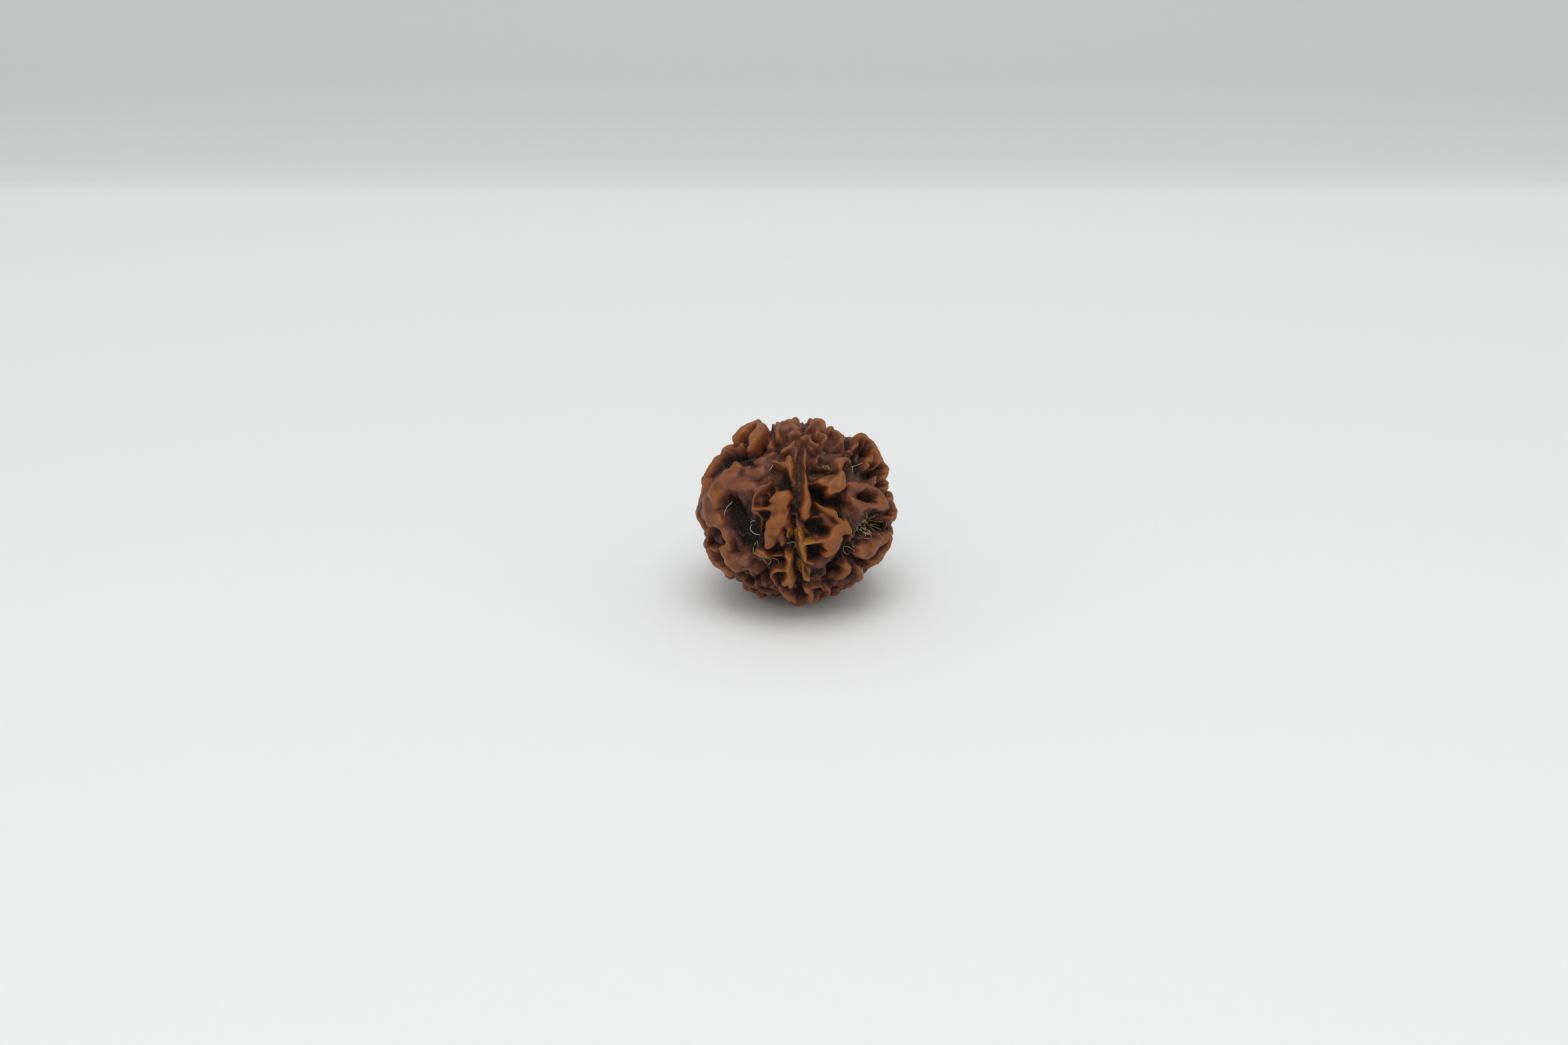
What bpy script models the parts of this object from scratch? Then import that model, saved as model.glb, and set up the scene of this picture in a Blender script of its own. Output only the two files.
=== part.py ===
"""A rudraksha seed: one woody stone, a squat ball of knuckled ridges, deep pits and five seams.

The stone is drawn in its own frame, its seams running from pole to pole along Z, and is then leaned
back as it lies on a table, on three low knuckles. Lengths are millimetres until the mesh is made.
"""

import math
import random
from typing import NamedTuple

import bmesh
import bpy
import numpy as np
from mathutils import Euler

MM = 0.001

# Driving dimensions: the mean crest of the ridges is a squat ball, and it stands this high over a table
CREST_RADIUS = 11.95
CREST_HALF_HEIGHT = 11.18
REST_HEIGHT = 10.95
SEAM_COUNT = 5

# How the stone lies and from where its front is drawn: level with its middle, square to its axis
LEAN_BACK = math.radians(23)
VIEW_DISTANCE = 335.0

# Middle ground between the ridges, under the mean crest, and its gentle swell
GROUND = -1.1
HIDDEN_GROUND_DROP = 0.45
HIDDEN_START = 0.3
GROUND_SWELL = 0.3
GROUND_PITCH = 3.0

# Cross-section of a ridge, and how ridges run into each other
SHOULDER = 0.76
FLANK = 0.7
CROWN_DROP = 0.48
ROOT_DEPTH = 3.2
FILLET = 0.7
REACH = 1.4
CURVE_STEPS = 4

# Cross-section of a cut: its flat floor as a share of its half width, and its wall
FLOOR_SHARE = 0.3
PIT_WALL = 0.6
CREASE_WALL = 0.35
SEAM_FLOOR = -1.5
SEAM_HALF_WIDTH = 0.28

# Irregularity: how far outlines wander, walls wobble and crests ripple: (pitch, size, first seed)
WANDER = ((2.6, 0.12, 1), (1.2, 0.05, 11))
WOBBLE = (1.3, 0.12, 21)
CREST_WOBBLE_SHARE = 0.3
CREST_DEPTH = 1.5
RIPPLES = ((2.0, 0.1, 4), (0.9, 0.03, 7))
WAVES = 10
WAVE_PITCHES = (0.7, 1.6)
WAVE_PEAK = 1.6

# Fineness of the solid
SPHERE_LEVEL = 7
SOLID_TRIANGLES = 11200
TIP_WEIGHT = 1000.0

# The stone lies on the points of three low knuckles, with a small flat spot between them: places on the
# table to the right and ahead of the stone's middle
FEET = ((0.2, 3.2), (4.1, -2.4), (-4.1, -2.4))
FOOT_SLOPE = 0.3
FOOT_ROUND = 2.5
TIP_GUARD = 0.35
CLEARANCE = 0.35
FLAT_SPOT = (0.0, 0.2)
FLAT_RADIUS = 0.9
FLAT_RECESS = 0.01
FLAT_EDGE = 0.8
UNDERSIDE = 7.0

# Rule for the ridges on the sides that the front view does not show
SIDE_SEED = 41
RIM_ANGLE = math.radians(11.0)
SEAM_MARGIN = 0.85
SEAM_WAVE = 0.03
SEAM_WAVES_ROUND = 5.0
SEAM_STEP = math.radians(5.0)
PANEL_KNUCKLES = 185
TRIES = 8
RIM_SPACINGS = (0.8, 1.2)
RIM_OFFSETS = (0.8, 1.25)
RIM_STOP = 0.7
RIM_SIZES = (0.4, 0.7)
RIM_LIFTS = (-0.3, 0.2)
PANEL_SIZES = (0.5, 1.15)
PANEL_LIFTS = (-0.5, 0.35)
JOIN_REACH = 3.3
FOLD_BEND = 0.4
FOLD_WAISTS = (0.5, 0.95)
FOLD_DIP = 0.4
RIM_JOINS = 0.85
PANEL_JOINS = 0.42
FRONT_LIMIT = -0.03
SINK_START = -0.3
SINK = 0.5


class Ridge(NamedTuple):
    """A raised fold: its crest's height over the mean crest, and (right, up, half width) along it."""

    lift: float
    path: tuple


class Knuckle(NamedTuple):
    """A raised knuckle of the hidden sides: its place on the mean crest, size, height and panel."""

    place: np.ndarray
    half_width: float
    lift: float
    panel: int


class Cut(NamedTuple):
    """A pit, crease or seam: the height of its floor, and (right, up, half width) along it."""

    floor: float
    path: tuple


SEAM_EDGES = (
    # Left edge of the middle seam, from the top down
    Ridge(0.15, ((-0.15, 8.35, 0.22), (-0.55, 7.8, 0.4), (-1.25, 7.4, 0.4), (-1.9, 7.1, 0.25))),
    Ridge(0.35, ((-2.75, 5.85, 0.4), (-2.1, 5.4, 0.5), (-1.3, 5.6, 0.55))),
    Ridge(0.35, ((-1.05, 6.25, 0.42), (-0.95, 5.4, 0.5), (-0.8, 4.5, 0.32), (-0.7, 3.8, 0.15))),
    Ridge(0.3, ((-3.2, 1.3, 0.45), (-2.3, 1.45, 0.8), (-1.3, 1.75, 0.6))),
    Ridge(0.3, ((-2.1, 1.2, 1.2), (-2.2, 0.2, 1.25), (-2.4, -1.0, 1.15), (-2.8, -2.2, 1.0))),
    Ridge(0.25, ((-2.9, -2.0, 0.9), (-3.15, -3.0, 0.8), (-3.4, -3.8, 0.65), (-3.6, -4.35, 0.4))),
    Ridge(-0.1, ((-2.7, -2.6, 0.7), (-2.0, -3.3, 0.7), (-1.8, -4.0, 0.45))),
    Ridge(-0.1, ((-1.0, -2.65, 0.16), (-0.95, -3.2, 0.22))),
    Ridge(0.1, (
        (-1.4, -5.2, 0.4), (-1.0, -6.2, 0.3), (-1.1, -7.2, 0.34), (-0.9, -8.2, 0.4), (-0.7, -9.3, 0.42),
    )),
    Ridge(0.1, ((-1.0, -8.2, 0.4), (-1.5, -8.9, 0.45))),
    # Right edge of the middle seam, from the top down
    Ridge(0.2, ((1.1, 7.35, 0.14), (1.05, 6.5, 0.32), (0.95, 5.6, 0.24), (1.0, 4.6, 0.16), (1.1, 3.5, 0.3))),
    Ridge(0.2, ((1.1, 3.4, 0.32), (1.1, 2.4, 0.34), (1.15, 1.4, 0.5), (1.05, 0.3, 0.6), (1.0, -0.8, 0.55))),
    Ridge(0.2, (
        (0.15, -2.7, 0.2), (0.35, -3.4, 0.34), (0.5, -4.4, 0.4), (0.7, -5.3, 0.34), (0.8, -6.0, 0.34),
    )),
    Ridge(0.1, ((0.9, -6.2, 0.34), (1.5, -6.35, 0.3), (1.95, -6.4, 0.2))),
    Ridge(0.1, ((0.5, -6.8, 0.22), (0.55, -7.6, 0.26), (0.8, -8.3, 0.42), (1.35, -8.4, 0.45))),
    Ridge(-0.3, ((1.2, -7.1, 0.4), (1.4, -7.9, 0.5))),
)

LEFT_PANEL = (
    # Round knob under the long column, its arm to the seam, and the loops below
    Ridge(0.15, ((-4.8, -5.15, 0.5), (-4.2, -5.3, 0.62), (-3.5, -5.5, 0.45))),
    Ridge(-0.3, ((-3.4, -5.5, 0.4), (-2.4, -5.4, 0.34), (-1.4, -5.2, 0.36))),
    Ridge(-0.1, ((-1.3, -7.3, 0.28), (-2.2, -7.2, 0.36), (-3.0, -7.5, 0.38), (-3.05, -8.1, 0.26))),
    Ridge(-0.1, ((-3.0, -8.1, 0.26), (-2.5, -8.9, 0.28), (-1.9, -9.8, 0.4), (-1.2, -10.4, 0.5))),
    Ridge(0.2, ((-1.4, -10.3, 0.5), (-0.8, -10.8, 0.55), (0.0, -11.1, 0.45))),
    Ridge(-0.6, ((-3.0, -9.2, 0.36),)),
    Ridge(-0.4, ((-4.9, -7.6, 0.24), (-4.4, -8.2, 0.32), (-3.9, -8.85, 0.36))),
    Ridge(-0.6, ((-4.9, -8.6, 0.28), (-4.7, -9.3, 0.36))),
    Ridge(-0.5, ((-6.6, -8.1, 0.3), (-5.8, -8.9, 0.42), (-5.0, -9.3, 0.36))),
    Ridge(-0.7, ((-4.4, -9.6, 0.36), (-3.2, -9.8, 0.36), (-2.3, -9.9, 0.28))),
    # Bridge from the column to the big left pit, and the thin folds round it
    Ridge(0.0, ((-3.4, 0.3, 0.5), (-4.4, 0.15, 0.32), (-5.2, 0.15, 0.34))),
    Ridge(-0.4, ((-5.1, -0.2, 0.36), (-4.5, -0.7, 0.22), (-4.25, -1.5, 0.16), (-4.3, -2.6, 0.14))),
    Ridge(-0.3, (
        (-5.3, 0.2, 0.32), (-5.25, 1.1, 0.26), (-5.0, 1.9, 0.3), (-4.4, 2.6, 0.36), (-3.2, 3.4, 0.2),
    )),
    Ridge(-0.2, ((-2.75, 2.8, 0.16), (-2.4, 2.2, 0.28), (-2.0, 1.9, 0.4))),
    # Small round knob under the notch in the top
    Ridge(-0.3, ((-3.1, 8.3, 0.5), (-3.2, 7.7, 0.5))),
)

LEFT_LOBE = (
    # Broad dough-like lobe round the left pit
    Ridge(0.1, ((-7.4, 5.3, 0.8), (-8.1, 4.5, 1.5), (-9.3, 3.4, 1.9), (-10.0, 2.1, 1.9))),
    Ridge(0.1, ((-10.0, 2.1, 1.8), (-10.4, 0.8, 1.7), (-10.4, -0.5, 1.5), (-9.6, -1.3, 1.0))),
    Ridge(-0.1, ((-8.2, 3.4, 1.3), (-7.0, 3.3, 1.1), (-6.1, 2.9, 0.8), (-5.3, 2.7, 0.55))),
    Ridge(0.2, (
        (-11.0, 3.3, 0.6), (-11.5, 1.4, 0.8), (-11.9, -0.4, 0.9), (-11.5, -1.6, 0.7), (-11.2, -2.4, 0.4),
    )),
    Ridge(0.15, ((-10.8, 3.2, 0.9), (-11.1, 1.3, 1.2), (-11.2, -0.4, 1.1), (-10.7, -1.5, 0.7))),
    # Rim of the round hole on the left, and the lobe below it
    Ridge(0.0, ((-9.5, -2.0, 0.55), (-8.9, -2.9, 0.4), (-8.4, -3.9, 0.5), (-8.5, -4.9, 0.7))),
    Ridge(0.0, ((-10.8, -2.3, 0.3), (-10.9, -3.6, 0.24), (-10.6, -4.6, 0.34), (-9.8, -4.8, 0.3))),
    Ridge(0.1, ((-8.8, -5.2, 1.05), (-8.2, -6.1, 1.3), (-7.7, -6.8, 1.05))),
    Ridge(-0.1, ((-7.6, -6.0, 1.0), (-6.7, -6.2, 0.8), (-6.1, -5.8, 0.45))),
    Ridge(-0.6, ((-6.7, -6.9, 0.7), (-5.8, -7.0, 0.55), (-5.4, -7.6, 0.35))),
    Ridge(0.3, ((-10.7, -5.0, 0.45), (-10.1, -6.2, 0.6), (-9.1, -7.2, 0.6), (-8.1, -7.8, 0.5))),
    # Upper left rim behind the lobe
    Ridge(0.3, ((-8.0, 7.7, 0.6), (-9.2, 7.0, 0.7), (-10.2, 5.7, 0.7), (-10.8, 4.4, 0.6))),
    Ridge(0.0, ((-8.6, 7.1, 0.45), (-7.8, 7.35, 0.5), (-7.0, 7.5, 0.5), (-6.5, 8.0, 0.45))),
    # The two tall fingers at the upper left
    Ridge(0.9, ((-7.5, 8.8, 0.5), (-7.0, 9.5, 0.6), (-6.0, 10.2, 0.55), (-4.8, 10.8, 0.45))),
    Ridge(0.8, ((-4.25, 10.6, 0.6), (-4.6, 9.7, 0.75), (-5.2, 8.7, 0.75), (-5.7, 7.7, 0.5))),
)

TOP = (
    Ridge(0.15, ((-1.7, 10.1, 1.0), (-0.8, 10.3, 1.1), (0.1, 10.1, 0.6))),
    Ridge(0.35, ((-2.2, 10.6, 0.36), (-2.4, 9.8, 0.36), (-2.35, 8.9, 0.3))),
    Ridge(0.25, ((-1.5, 10.6, 0.5), (-0.7, 10.8, 0.6), (0.1, 10.7, 0.4), (0.5, 10.8, 0.22))),
    Ridge(-0.2, ((-0.9, 9.2, 0.55), (-0.1, 9.4, 0.6), (0.5, 9.2, 0.45))),
    Ridge(-0.1, ((0.8, 8.7, 0.4), (1.4, 9.0, 0.26), (1.8, 8.4, 0.36), (2.5, 8.0, 0.4))),
    Ridge(0.1, ((1.2, 9.9, 0.28), (1.9, 10.2, 0.3), (2.6, 9.7, 0.3), (2.4, 9.2, 0.26))),
    Ridge(0.75, ((2.3, 10.9, 0.45), (3.0, 10.7, 0.5), (3.4, 10.1, 0.4))),
    Ridge(-0.2, ((1.5, 7.75, 0.28), (2.0, 7.4, 0.34))),
)

RIGHT_PANEL = (
    # Net of sharp folds at the upper right
    Ridge(0.0, ((2.7, 9.2, 0.24), (3.3, 8.8, 0.32), (3.5, 8.2, 0.34), (3.7, 7.8, 0.26))),
    Ridge(0.1, ((3.3, 9.4, 0.24), (4.3, 9.7, 0.34), (5.1, 9.3, 0.34), (5.7, 8.7, 0.26))),
    Ridge(-0.1, ((5.4, 8.8, 0.2), (5.3, 8.1, 0.3), (4.6, 7.9, 0.2), (3.8, 7.9, 0.24))),
    Ridge(0.05, ((5.4, 8.5, 0.26), (5.6, 7.8, 0.32), (6.0, 7.3, 0.26), (6.5, 6.9, 0.15))),
    Ridge(-0.1, ((2.75, 6.7, 0.34), (2.4, 6.2, 0.34), (2.1, 5.6, 0.16))),
    Ridge(0.0, ((5.2, 6.15, 0.5), (4.2, 6.25, 0.3), (3.3, 6.5, 0.22))),
    Ridge(0.1, ((5.3, 4.4, 0.5), (5.2, 5.2, 0.5), (5.4, 6.0, 0.5), (6.0, 6.1, 0.36), (6.2, 5.8, 0.2))),
    Ridge(-0.5, ((5.0, 4.7, 0.36), (3.6, 5.0, 0.16), (2.3, 5.3, 0.12), (2.1, 5.6, 0.12))),
    # The palm-shaped lobe beside the seam
    Ridge(0.25, ((2.3, 3.35, 0.26), (3.2, 3.55, 0.6), (4.2, 3.5, 1.05), (5.2, 3.4, 1.1))),
    Ridge(0.3, ((4.9, 3.1, 1.05), (4.4, 2.4, 0.95), (3.8, 1.9, 0.55))),
    Ridge(0.15, ((5.3, 4.4, 0.5), (5.4, 3.5, 0.6), (5.2, 2.7, 0.45))),
    Ridge(-0.4, ((1.2, 3.2, 0.26), (2.2, 3.3, 0.22))),
    # The long lobe below it, round two pits
    Ridge(0.1, ((2.5, 0.8, 0.22), (3.0, 0.3, 0.34), (3.5, -0.1, 0.3))),
    Ridge(0.2, ((3.6, -0.1, 0.34), (4.5, -0.6, 0.5), (5.3, -1.2, 0.6), (6.1, -1.9, 0.62), (6.3, -2.6, 0.5))),
    Ridge(0.3, ((6.0, -2.4, 0.7), (5.2, -2.5, 1.0), (4.7, -3.3, 1.15), (4.0, -4.0, 0.95))),
    Ridge(0.25, ((5.0, -3.7, 0.75), (4.4, -4.7, 0.75), (3.7, -5.3, 0.5))),
    Ridge(0.15, ((4.0, -3.6, 0.65), (2.7, -3.75, 0.34), (1.8, -3.9, 0.22), (0.9, -4.1, 0.3))),
    Ridge(-0.4, ((3.2, -0.6, 0.5), (3.9, -1.4, 0.6), (4.4, -2.0, 0.5))),
    Ridge(-0.3, ((4.2, -5.2, 0.45), (3.9, -5.85, 0.25))),
    Ridge(-0.2, ((6.4, -3.0, 0.26), (6.3, -3.7, 0.24))),
    # Knobs under it, round the lower pit
    Ridge(0.1, (
        (5.7, -6.5, 0.5), (6.1, -7.1, 0.55), (5.6, -7.9, 0.5), (4.9, -8.4, 0.42), (4.1, -8.65, 0.42),
    )),
    Ridge(-0.2, ((1.4, -9.3, 0.46), (2.2, -9.1, 0.36), (2.9, -9.3, 0.28), (3.2, -9.6, 0.2))),
    Ridge(0.2, ((1.3, -9.6, 0.46), (1.65, -10.4, 0.5), (1.75, -11.0, 0.5), (2.5, -10.7, 0.4))),
    Ridge(0.0, ((3.7, -9.5, 0.3), (3.8, -10.2, 0.36))),
    Ridge(-0.4, ((5.3, -9.3, 0.45), (4.8, -9.8, 0.36))),
)

RIGHT_LOBES = (
    # Upper right rim, its inner lobe and the curl below
    Ridge(0.75, ((7.5, 9.1, 0.3), (8.4, 8.8, 0.42), (9.3, 8.0, 0.5), (9.9, 7.0, 0.5), (10.2, 6.1, 0.4))),
    Ridge(0.1, ((8.2, 8.0, 0.34), (8.8, 7.3, 0.5), (8.9, 6.5, 0.5), (8.6, 5.7, 0.4), (8.3, 5.0, 0.24))),
    Ridge(-0.15, ((8.6, 8.3, 0.4), (9.4, 7.4, 0.45), (9.6, 6.4, 0.4))),
    Ridge(-0.1, ((7.1, 8.4, 0.3), (7.2, 8.0, 0.36), (6.9, 7.5, 0.26))),
    Ridge(0.4, ((10.4, 5.8, 0.4), (10.9, 5.0, 0.55), (10.6, 4.1, 0.45))),
    Ridge(0.0, ((9.6, 5.4, 0.22), (9.95, 5.1, 0.22), (9.7, 4.5, 0.26), (9.45, 3.9, 0.26), (9.6, 3.2, 0.26))),
    Ridge(0.05, ((10.5, 3.4, 0.24), (10.9, 3.2, 0.34), (10.6, 2.7, 0.26))),
    # The lobe with the round hole
    Ridge(0.0, ((6.4, 3.0, 0.5), (7.6, 2.8, 0.8), (8.9, 2.4, 0.9), (10.0, 1.8, 0.9), (10.8, 1.0, 0.7))),
    Ridge(-0.1, ((6.8, 0.9, 0.6), (7.7, 0.5, 0.6), (8.8, 0.7, 0.7), (9.9, 0.7, 0.75), (10.9, 0.4, 0.6))),
    Ridge(-0.4, ((6.7, 2.6, 0.7), (6.5, 1.7, 0.8), (6.8, 0.9, 0.7))),
    Ridge(-0.6, ((7.3, 0.1, 0.5), (7.9, -0.4, 0.36))),
    Ridge(0.3, ((11.4, 1.3, 0.4), (11.8, 0.3, 0.55), (11.7, -0.8, 0.55), (11.2, -1.5, 0.4))),
    # The lower right lobe and the low fold behind it
    Ridge(-0.9, ((9.3, -3.3, 0.22), (9.9, -2.9, 0.18), (10.7, -2.6, 0.22))),
    Ridge(0.0, (
        (7.5, -4.9, 0.85), (8.6, -5.0, 1.2), (9.6, -4.5, 1.15), (10.5, -3.7, 0.9), (11.2, -3.1, 0.5),
    )),
    Ridge(0.35, (
        (11.3, -3.6, 0.4), (10.9, -4.6, 0.5), (10.3, -5.5, 0.5), (9.6, -6.2, 0.45), (8.9, -6.8, 0.4),
    )),
    Ridge(0.2, ((7.5, -7.1, 0.35), (7.8, -7.9, 0.42), (7.4, -8.6, 0.36))),
    Ridge(0.0, ((7.1, -8.8, 0.32), (6.2, -9.3, 0.32))),
)

MIDDLE_FOLDS = (
    # Middle ground beside the seam, and the rough ground of the panels
    Ridge(-0.4, ((0.1, 8.2, 0.4), (-0.25, 6.6, 0.4), (-0.3, 4.6, 0.4), (-0.3, 2.8, 0.4))),
    Ridge(-0.4, ((0.55, 6.0, 0.2), (0.6, 4.4, 0.25), (0.65, 2.6, 0.3), (0.5, 0.8, 0.3))),
    Ridge(-0.5, ((-1.0, 0.8, 0.35), (-1.2, -0.8, 0.4), (-1.3, -2.0, 0.4))),
    Ridge(-0.45, ((-6.6, 4.6, 1.0), (-5.4, 4.3, 1.1), (-4.4, 4.6, 0.9))),
    Ridge(-0.6, ((-4.6, 5.8, 0.7), (-3.6, 6.4, 0.6), (-2.9, 6.8, 0.5))),
    Ridge(-0.8, ((1.6, 5.0, 0.2), (2.0, 4.9, 0.2))),
)

FRONT_RIDGES = SEAM_EDGES + LEFT_PANEL + LEFT_LOBE + TOP + RIGHT_PANEL + RIGHT_LOBES + MIDDLE_FOLDS

PITS = (
    # Left of the middle seam
    Cut(-2.5, ((-7.7, 0.9, 1.05), (-7.2, -0.5, 1.5), (-6.5, -2.2, 1.65), (-5.9, -3.9, 1.3))),
    Cut(-2.2, ((-5.2, -2.0, 0.55), (-5.0, -3.2, 0.6))),
    Cut(-2.0, ((-7.1, 6.2, 0.3), (-6.4, 6.3, 0.4), (-5.6, 6.4, 0.3))),
    Cut(-1.8, ((-2.7, 4.5, 0.4), (-1.9, 3.6, 0.5), (-1.3, 2.8, 0.25))),
    Cut(-1.4, ((-8.9, 5.6, 0.25), (-8.0, 6.4, 0.3))),
    Cut(-2.1, ((-4.9, -6.4, 0.3), (-4.1, -6.9, 0.55), (-3.8, -7.8, 0.4))),
    Cut(-1.6, ((-2.7, -4.6, 0.25), (-2.0, -4.7, 0.2))),
    # Right of it, from the top down
    Cut(-2.0, ((3.4, 7.2, 0.25), (4.2, 7.1, 0.35), (4.9, 7.0, 0.25))),
    Cut(-1.8, ((2.7, 5.75, 0.25), (3.6, 5.7, 0.2))),
    Cut(-1.7, ((1.9, 4.4, 0.25), (3.0, 4.3, 0.25), (4.0, 4.4, 0.15))),
    Cut(-2.5, ((2.0, 2.5, 0.3), (2.3, 1.8, 0.5), (3.0, 1.2, 0.35))),
    Cut(-1.9, ((3.8, 1.0, 0.3), (4.6, 1.0, 0.35), (5.4, 0.5, 0.3))),
    Cut(-2.2, ((1.5, -1.7, 0.4), (2.3, -1.9, 0.65), (2.9, -2.4, 0.4))),
    Cut(-1.9, ((1.7, -4.9, 0.25), (2.2, -5.2, 0.2))),
    Cut(-2.2, ((4.1, -6.5, 0.4), (4.2, -7.2, 0.55), (3.5, -7.8, 0.35))),
    Cut(-1.9, ((4.8, -5.8, 0.2), (5.5, -5.1, 0.3), (6.2, -4.5, 0.35), (6.7, -3.7, 0.4))),
    Cut(-2.4, ((7.7, 1.75, 0.3), (8.2, 1.6, 0.42), (8.6, 1.5, 0.3))),
    Cut(-2.5, ((7.5, -2.6, 0.75), (8.5, -2.0, 0.9), (9.6, -1.7, 0.65), (10.3, -1.9, 0.25))),
    Cut(-1.5, ((6.5, 6.5, 0.2), (6.6, 5.7, 0.4), (6.9, 4.6, 0.35))),
    Cut(-2.2, ((9.1, 4.4, 0.25), (8.6, 4.2, 0.4), (8.1, 4.8, 0.25))),
    Cut(-1.7, ((7.7, 6.9, 0.08), (7.6, 6.2, 0.12))),
    Cut(-1.9, ((7.0, -7.8, 0.25), (6.2, -8.6, 0.25))),
)

PIT_KNOBS = (
    # Small knobs that stand on the floor of the left pit
    Ridge(-1.5, ((-6.9, -2.6, 0.25), (-6.6, -3.0, 0.18))),
    Ridge(-1.9, ((-6.7, -0.5, 0.3), (-7.2, 0.3, 0.3))),
    Ridge(-1.8, ((-5.9, -4.2, 0.25), (-6.6, -4.4, 0.2))),
)

FRONT_CUTS = (
    # The middle seam
    Cut(-0.95, (
        (0.75, 8.0, 0.1), (0.45, 7.0, 0.12), (0.25, 6.0, 0.14), (0.15, 4.6, 0.16), (0.2, 3.0, 0.16),
        (0.05, 1.4, 0.16), (-0.2, 0.0, 0.16), (-0.5, -1.3, 0.18),
    )),
    Cut(-1.5, ((-0.5, -1.3, 0.16), (-0.5, -2.8, 0.18), (-0.35, -4.4, 0.18))),
    Cut(-1.7, (
        (-0.35, -4.4, 0.18), (-0.15, -5.8, 0.2), (0.05, -7.2, 0.24), (0.25, -8.7, 0.26), (0.45, -10.0, 0.28),
        (0.6, -10.9, 0.3),
    )),
    # Round and slotted holes that go down between the folds
    Cut(-2.4, ((-4.15, 1.7, 0.3), (-4.15, 0.95, 0.3))),
    Cut(-1.6, ((-4.2, 8.1, 0.12), (-4.5, 7.5, 0.2), (-4.9, 6.9, 0.25))),
    Cut(-1.7, ((-3.4, 2.45, 0.2), (-3.1, 2.55, 0.2))),
    Cut(-2.5, ((-10.0, -3.1, 0.4), (-9.5, -3.9, 0.45))),
    Cut(-0.9, ((-10.1, -5.1, 0.1), (-9.4, -5.9, 0.12))),
    Cut(-3.3, ((8.15, 1.7, 0.35), (8.6, 1.6, 0.45), (9.0, 1.5, 0.35))),
    Cut(-1.3, ((7.3, -6.3, 0.14), (8.6, -6.5, 0.18))),
    Cut(-2.1, ((-2.1, -6.35, 0.34),)),
    Cut(-2.4, ((-2.3, -8.2, 0.26), (-1.95, -7.9, 0.26))),
    Cut(-1.6, ((5.0, -0.5, 0.12), (5.6, -0.9, 0.14))),
)

# Valleys that run over the outline: (x, y, z, half width) in the stone's frame, and the floor
OVER_THE_EDGE = (
    Cut(-1.9, (
        (-3.2, -4.0, 9.3, 0.2), (-3.3, -1.5, 9.9, 0.22), (-3.3, 1.5, 9.9, 0.3), (-3.2, 4.0, 9.2, 0.4),
    )),
    Cut(-0.7, ((0.8, -3.5, 10.2, 0.15), (0.95, 0.0, 10.8, 0.15), (0.8, 3.0, 10.3, 0.2))),
    Cut(-0.9, ((0.55, -2.5, -10.5, 0.25), (0.6, 0.0, -10.8, 0.25), (0.5, 3.0, -10.3, 0.3))),
)


def smooth_step(t):
    """Eases each number of an array from 0 to 1 as it goes from 0 to 1."""
    t = np.clip(t, 0.0, 1.0)
    return t * t * (3.0 - 2.0 * t)


def crest_radius(directions):
    """Distance from the stone's middle to its mean crest, along unit directions."""
    across = (directions[..., 0] ** 2 + directions[..., 1] ** 2) / CREST_RADIUS**2
    along = directions[..., 2] ** 2 / CREST_HALF_HEIGHT**2
    return 1.0 / np.sqrt(across + along)


def on_crest(point):
    """The point of the mean crest that lies in the direction of a point."""
    direction = np.asarray(point, float) / np.linalg.norm(point)
    return direction * crest_radius(direction)


def seen_at(right, up, lift):
    """Where the front view's point (right, up) lies on the crest raised by lift, in the stone's frame.

    A point just outside the outline is taken to the nearest place on it.
    """
    eye = np.array((0.0, -VIEW_DISTANCE, 0.0))
    ray = np.array((right, VIEW_DISTANCE, up))
    squash = 1.0 / np.array((CREST_RADIUS + lift, CREST_RADIUS + lift, CREST_HALF_HEIGHT + lift))
    start, step = eye * squash, ray * squash
    a, b, c = step @ step, start @ step, start @ start - 1.0
    along = (-b - math.sqrt(max(b * b - a * c, 0.0))) / a
    return on_crest(eye + ray * along)


def rounded(path):
    """A path as an array of rows, with a smooth curve in place of its corners."""
    rows = np.array(path, float)
    if len(rows) < 3:
        return rows
    ends = np.vstack([2.0 * rows[0] - rows[1], rows, 2.0 * rows[-1] - rows[-2]])
    curve = []
    for a, b, c, d in zip(ends, ends[1:], ends[2:], ends[3:]):
        for step in range(CURVE_STEPS):
            t = step / CURVE_STEPS
            curve.append(b + 0.5 * t * (c - a + t * (2 * a - 5 * b + 4 * c - d + t * (3 * (b - c) + d - a))))
    return np.array(curve + [rows[-1]])


def front_path(path, lift):
    """A path of the front view as points on the mean crest, with the half width at each."""
    rows = rounded(path)
    return np.array([seen_at(right, up, lift) for right, up, _ in rows]), rows[:, 2]


def edge_path(path):
    """A path of points in the stone's frame as points on the mean crest, with the half width at each."""
    rows = rounded(path)
    return np.array([on_crest(row[:3]) for row in rows]), rows[:, 3]


def polar_point(azimuth, polar):
    """The point of the mean crest at an azimuth from the middle seam and a polar angle from the top."""
    across = math.sin(polar)
    return on_crest((math.sin(azimuth) * across, -math.cos(azimuth) * across, math.cos(polar)))


def seam_azimuth(number, polar):
    """Azimuth of a seam at a polar angle: a meridian with a slight wave."""
    return 2.0 * math.pi * number / SEAM_COUNT + SEAM_WAVE * math.sin(SEAM_WAVES_ROUND * polar + number)


def facing(point):
    """How far a point turns to the front view: 1 towards it, 0 on the outline, -1 away from it."""
    return -point[1] / np.linalg.norm(point)


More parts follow.
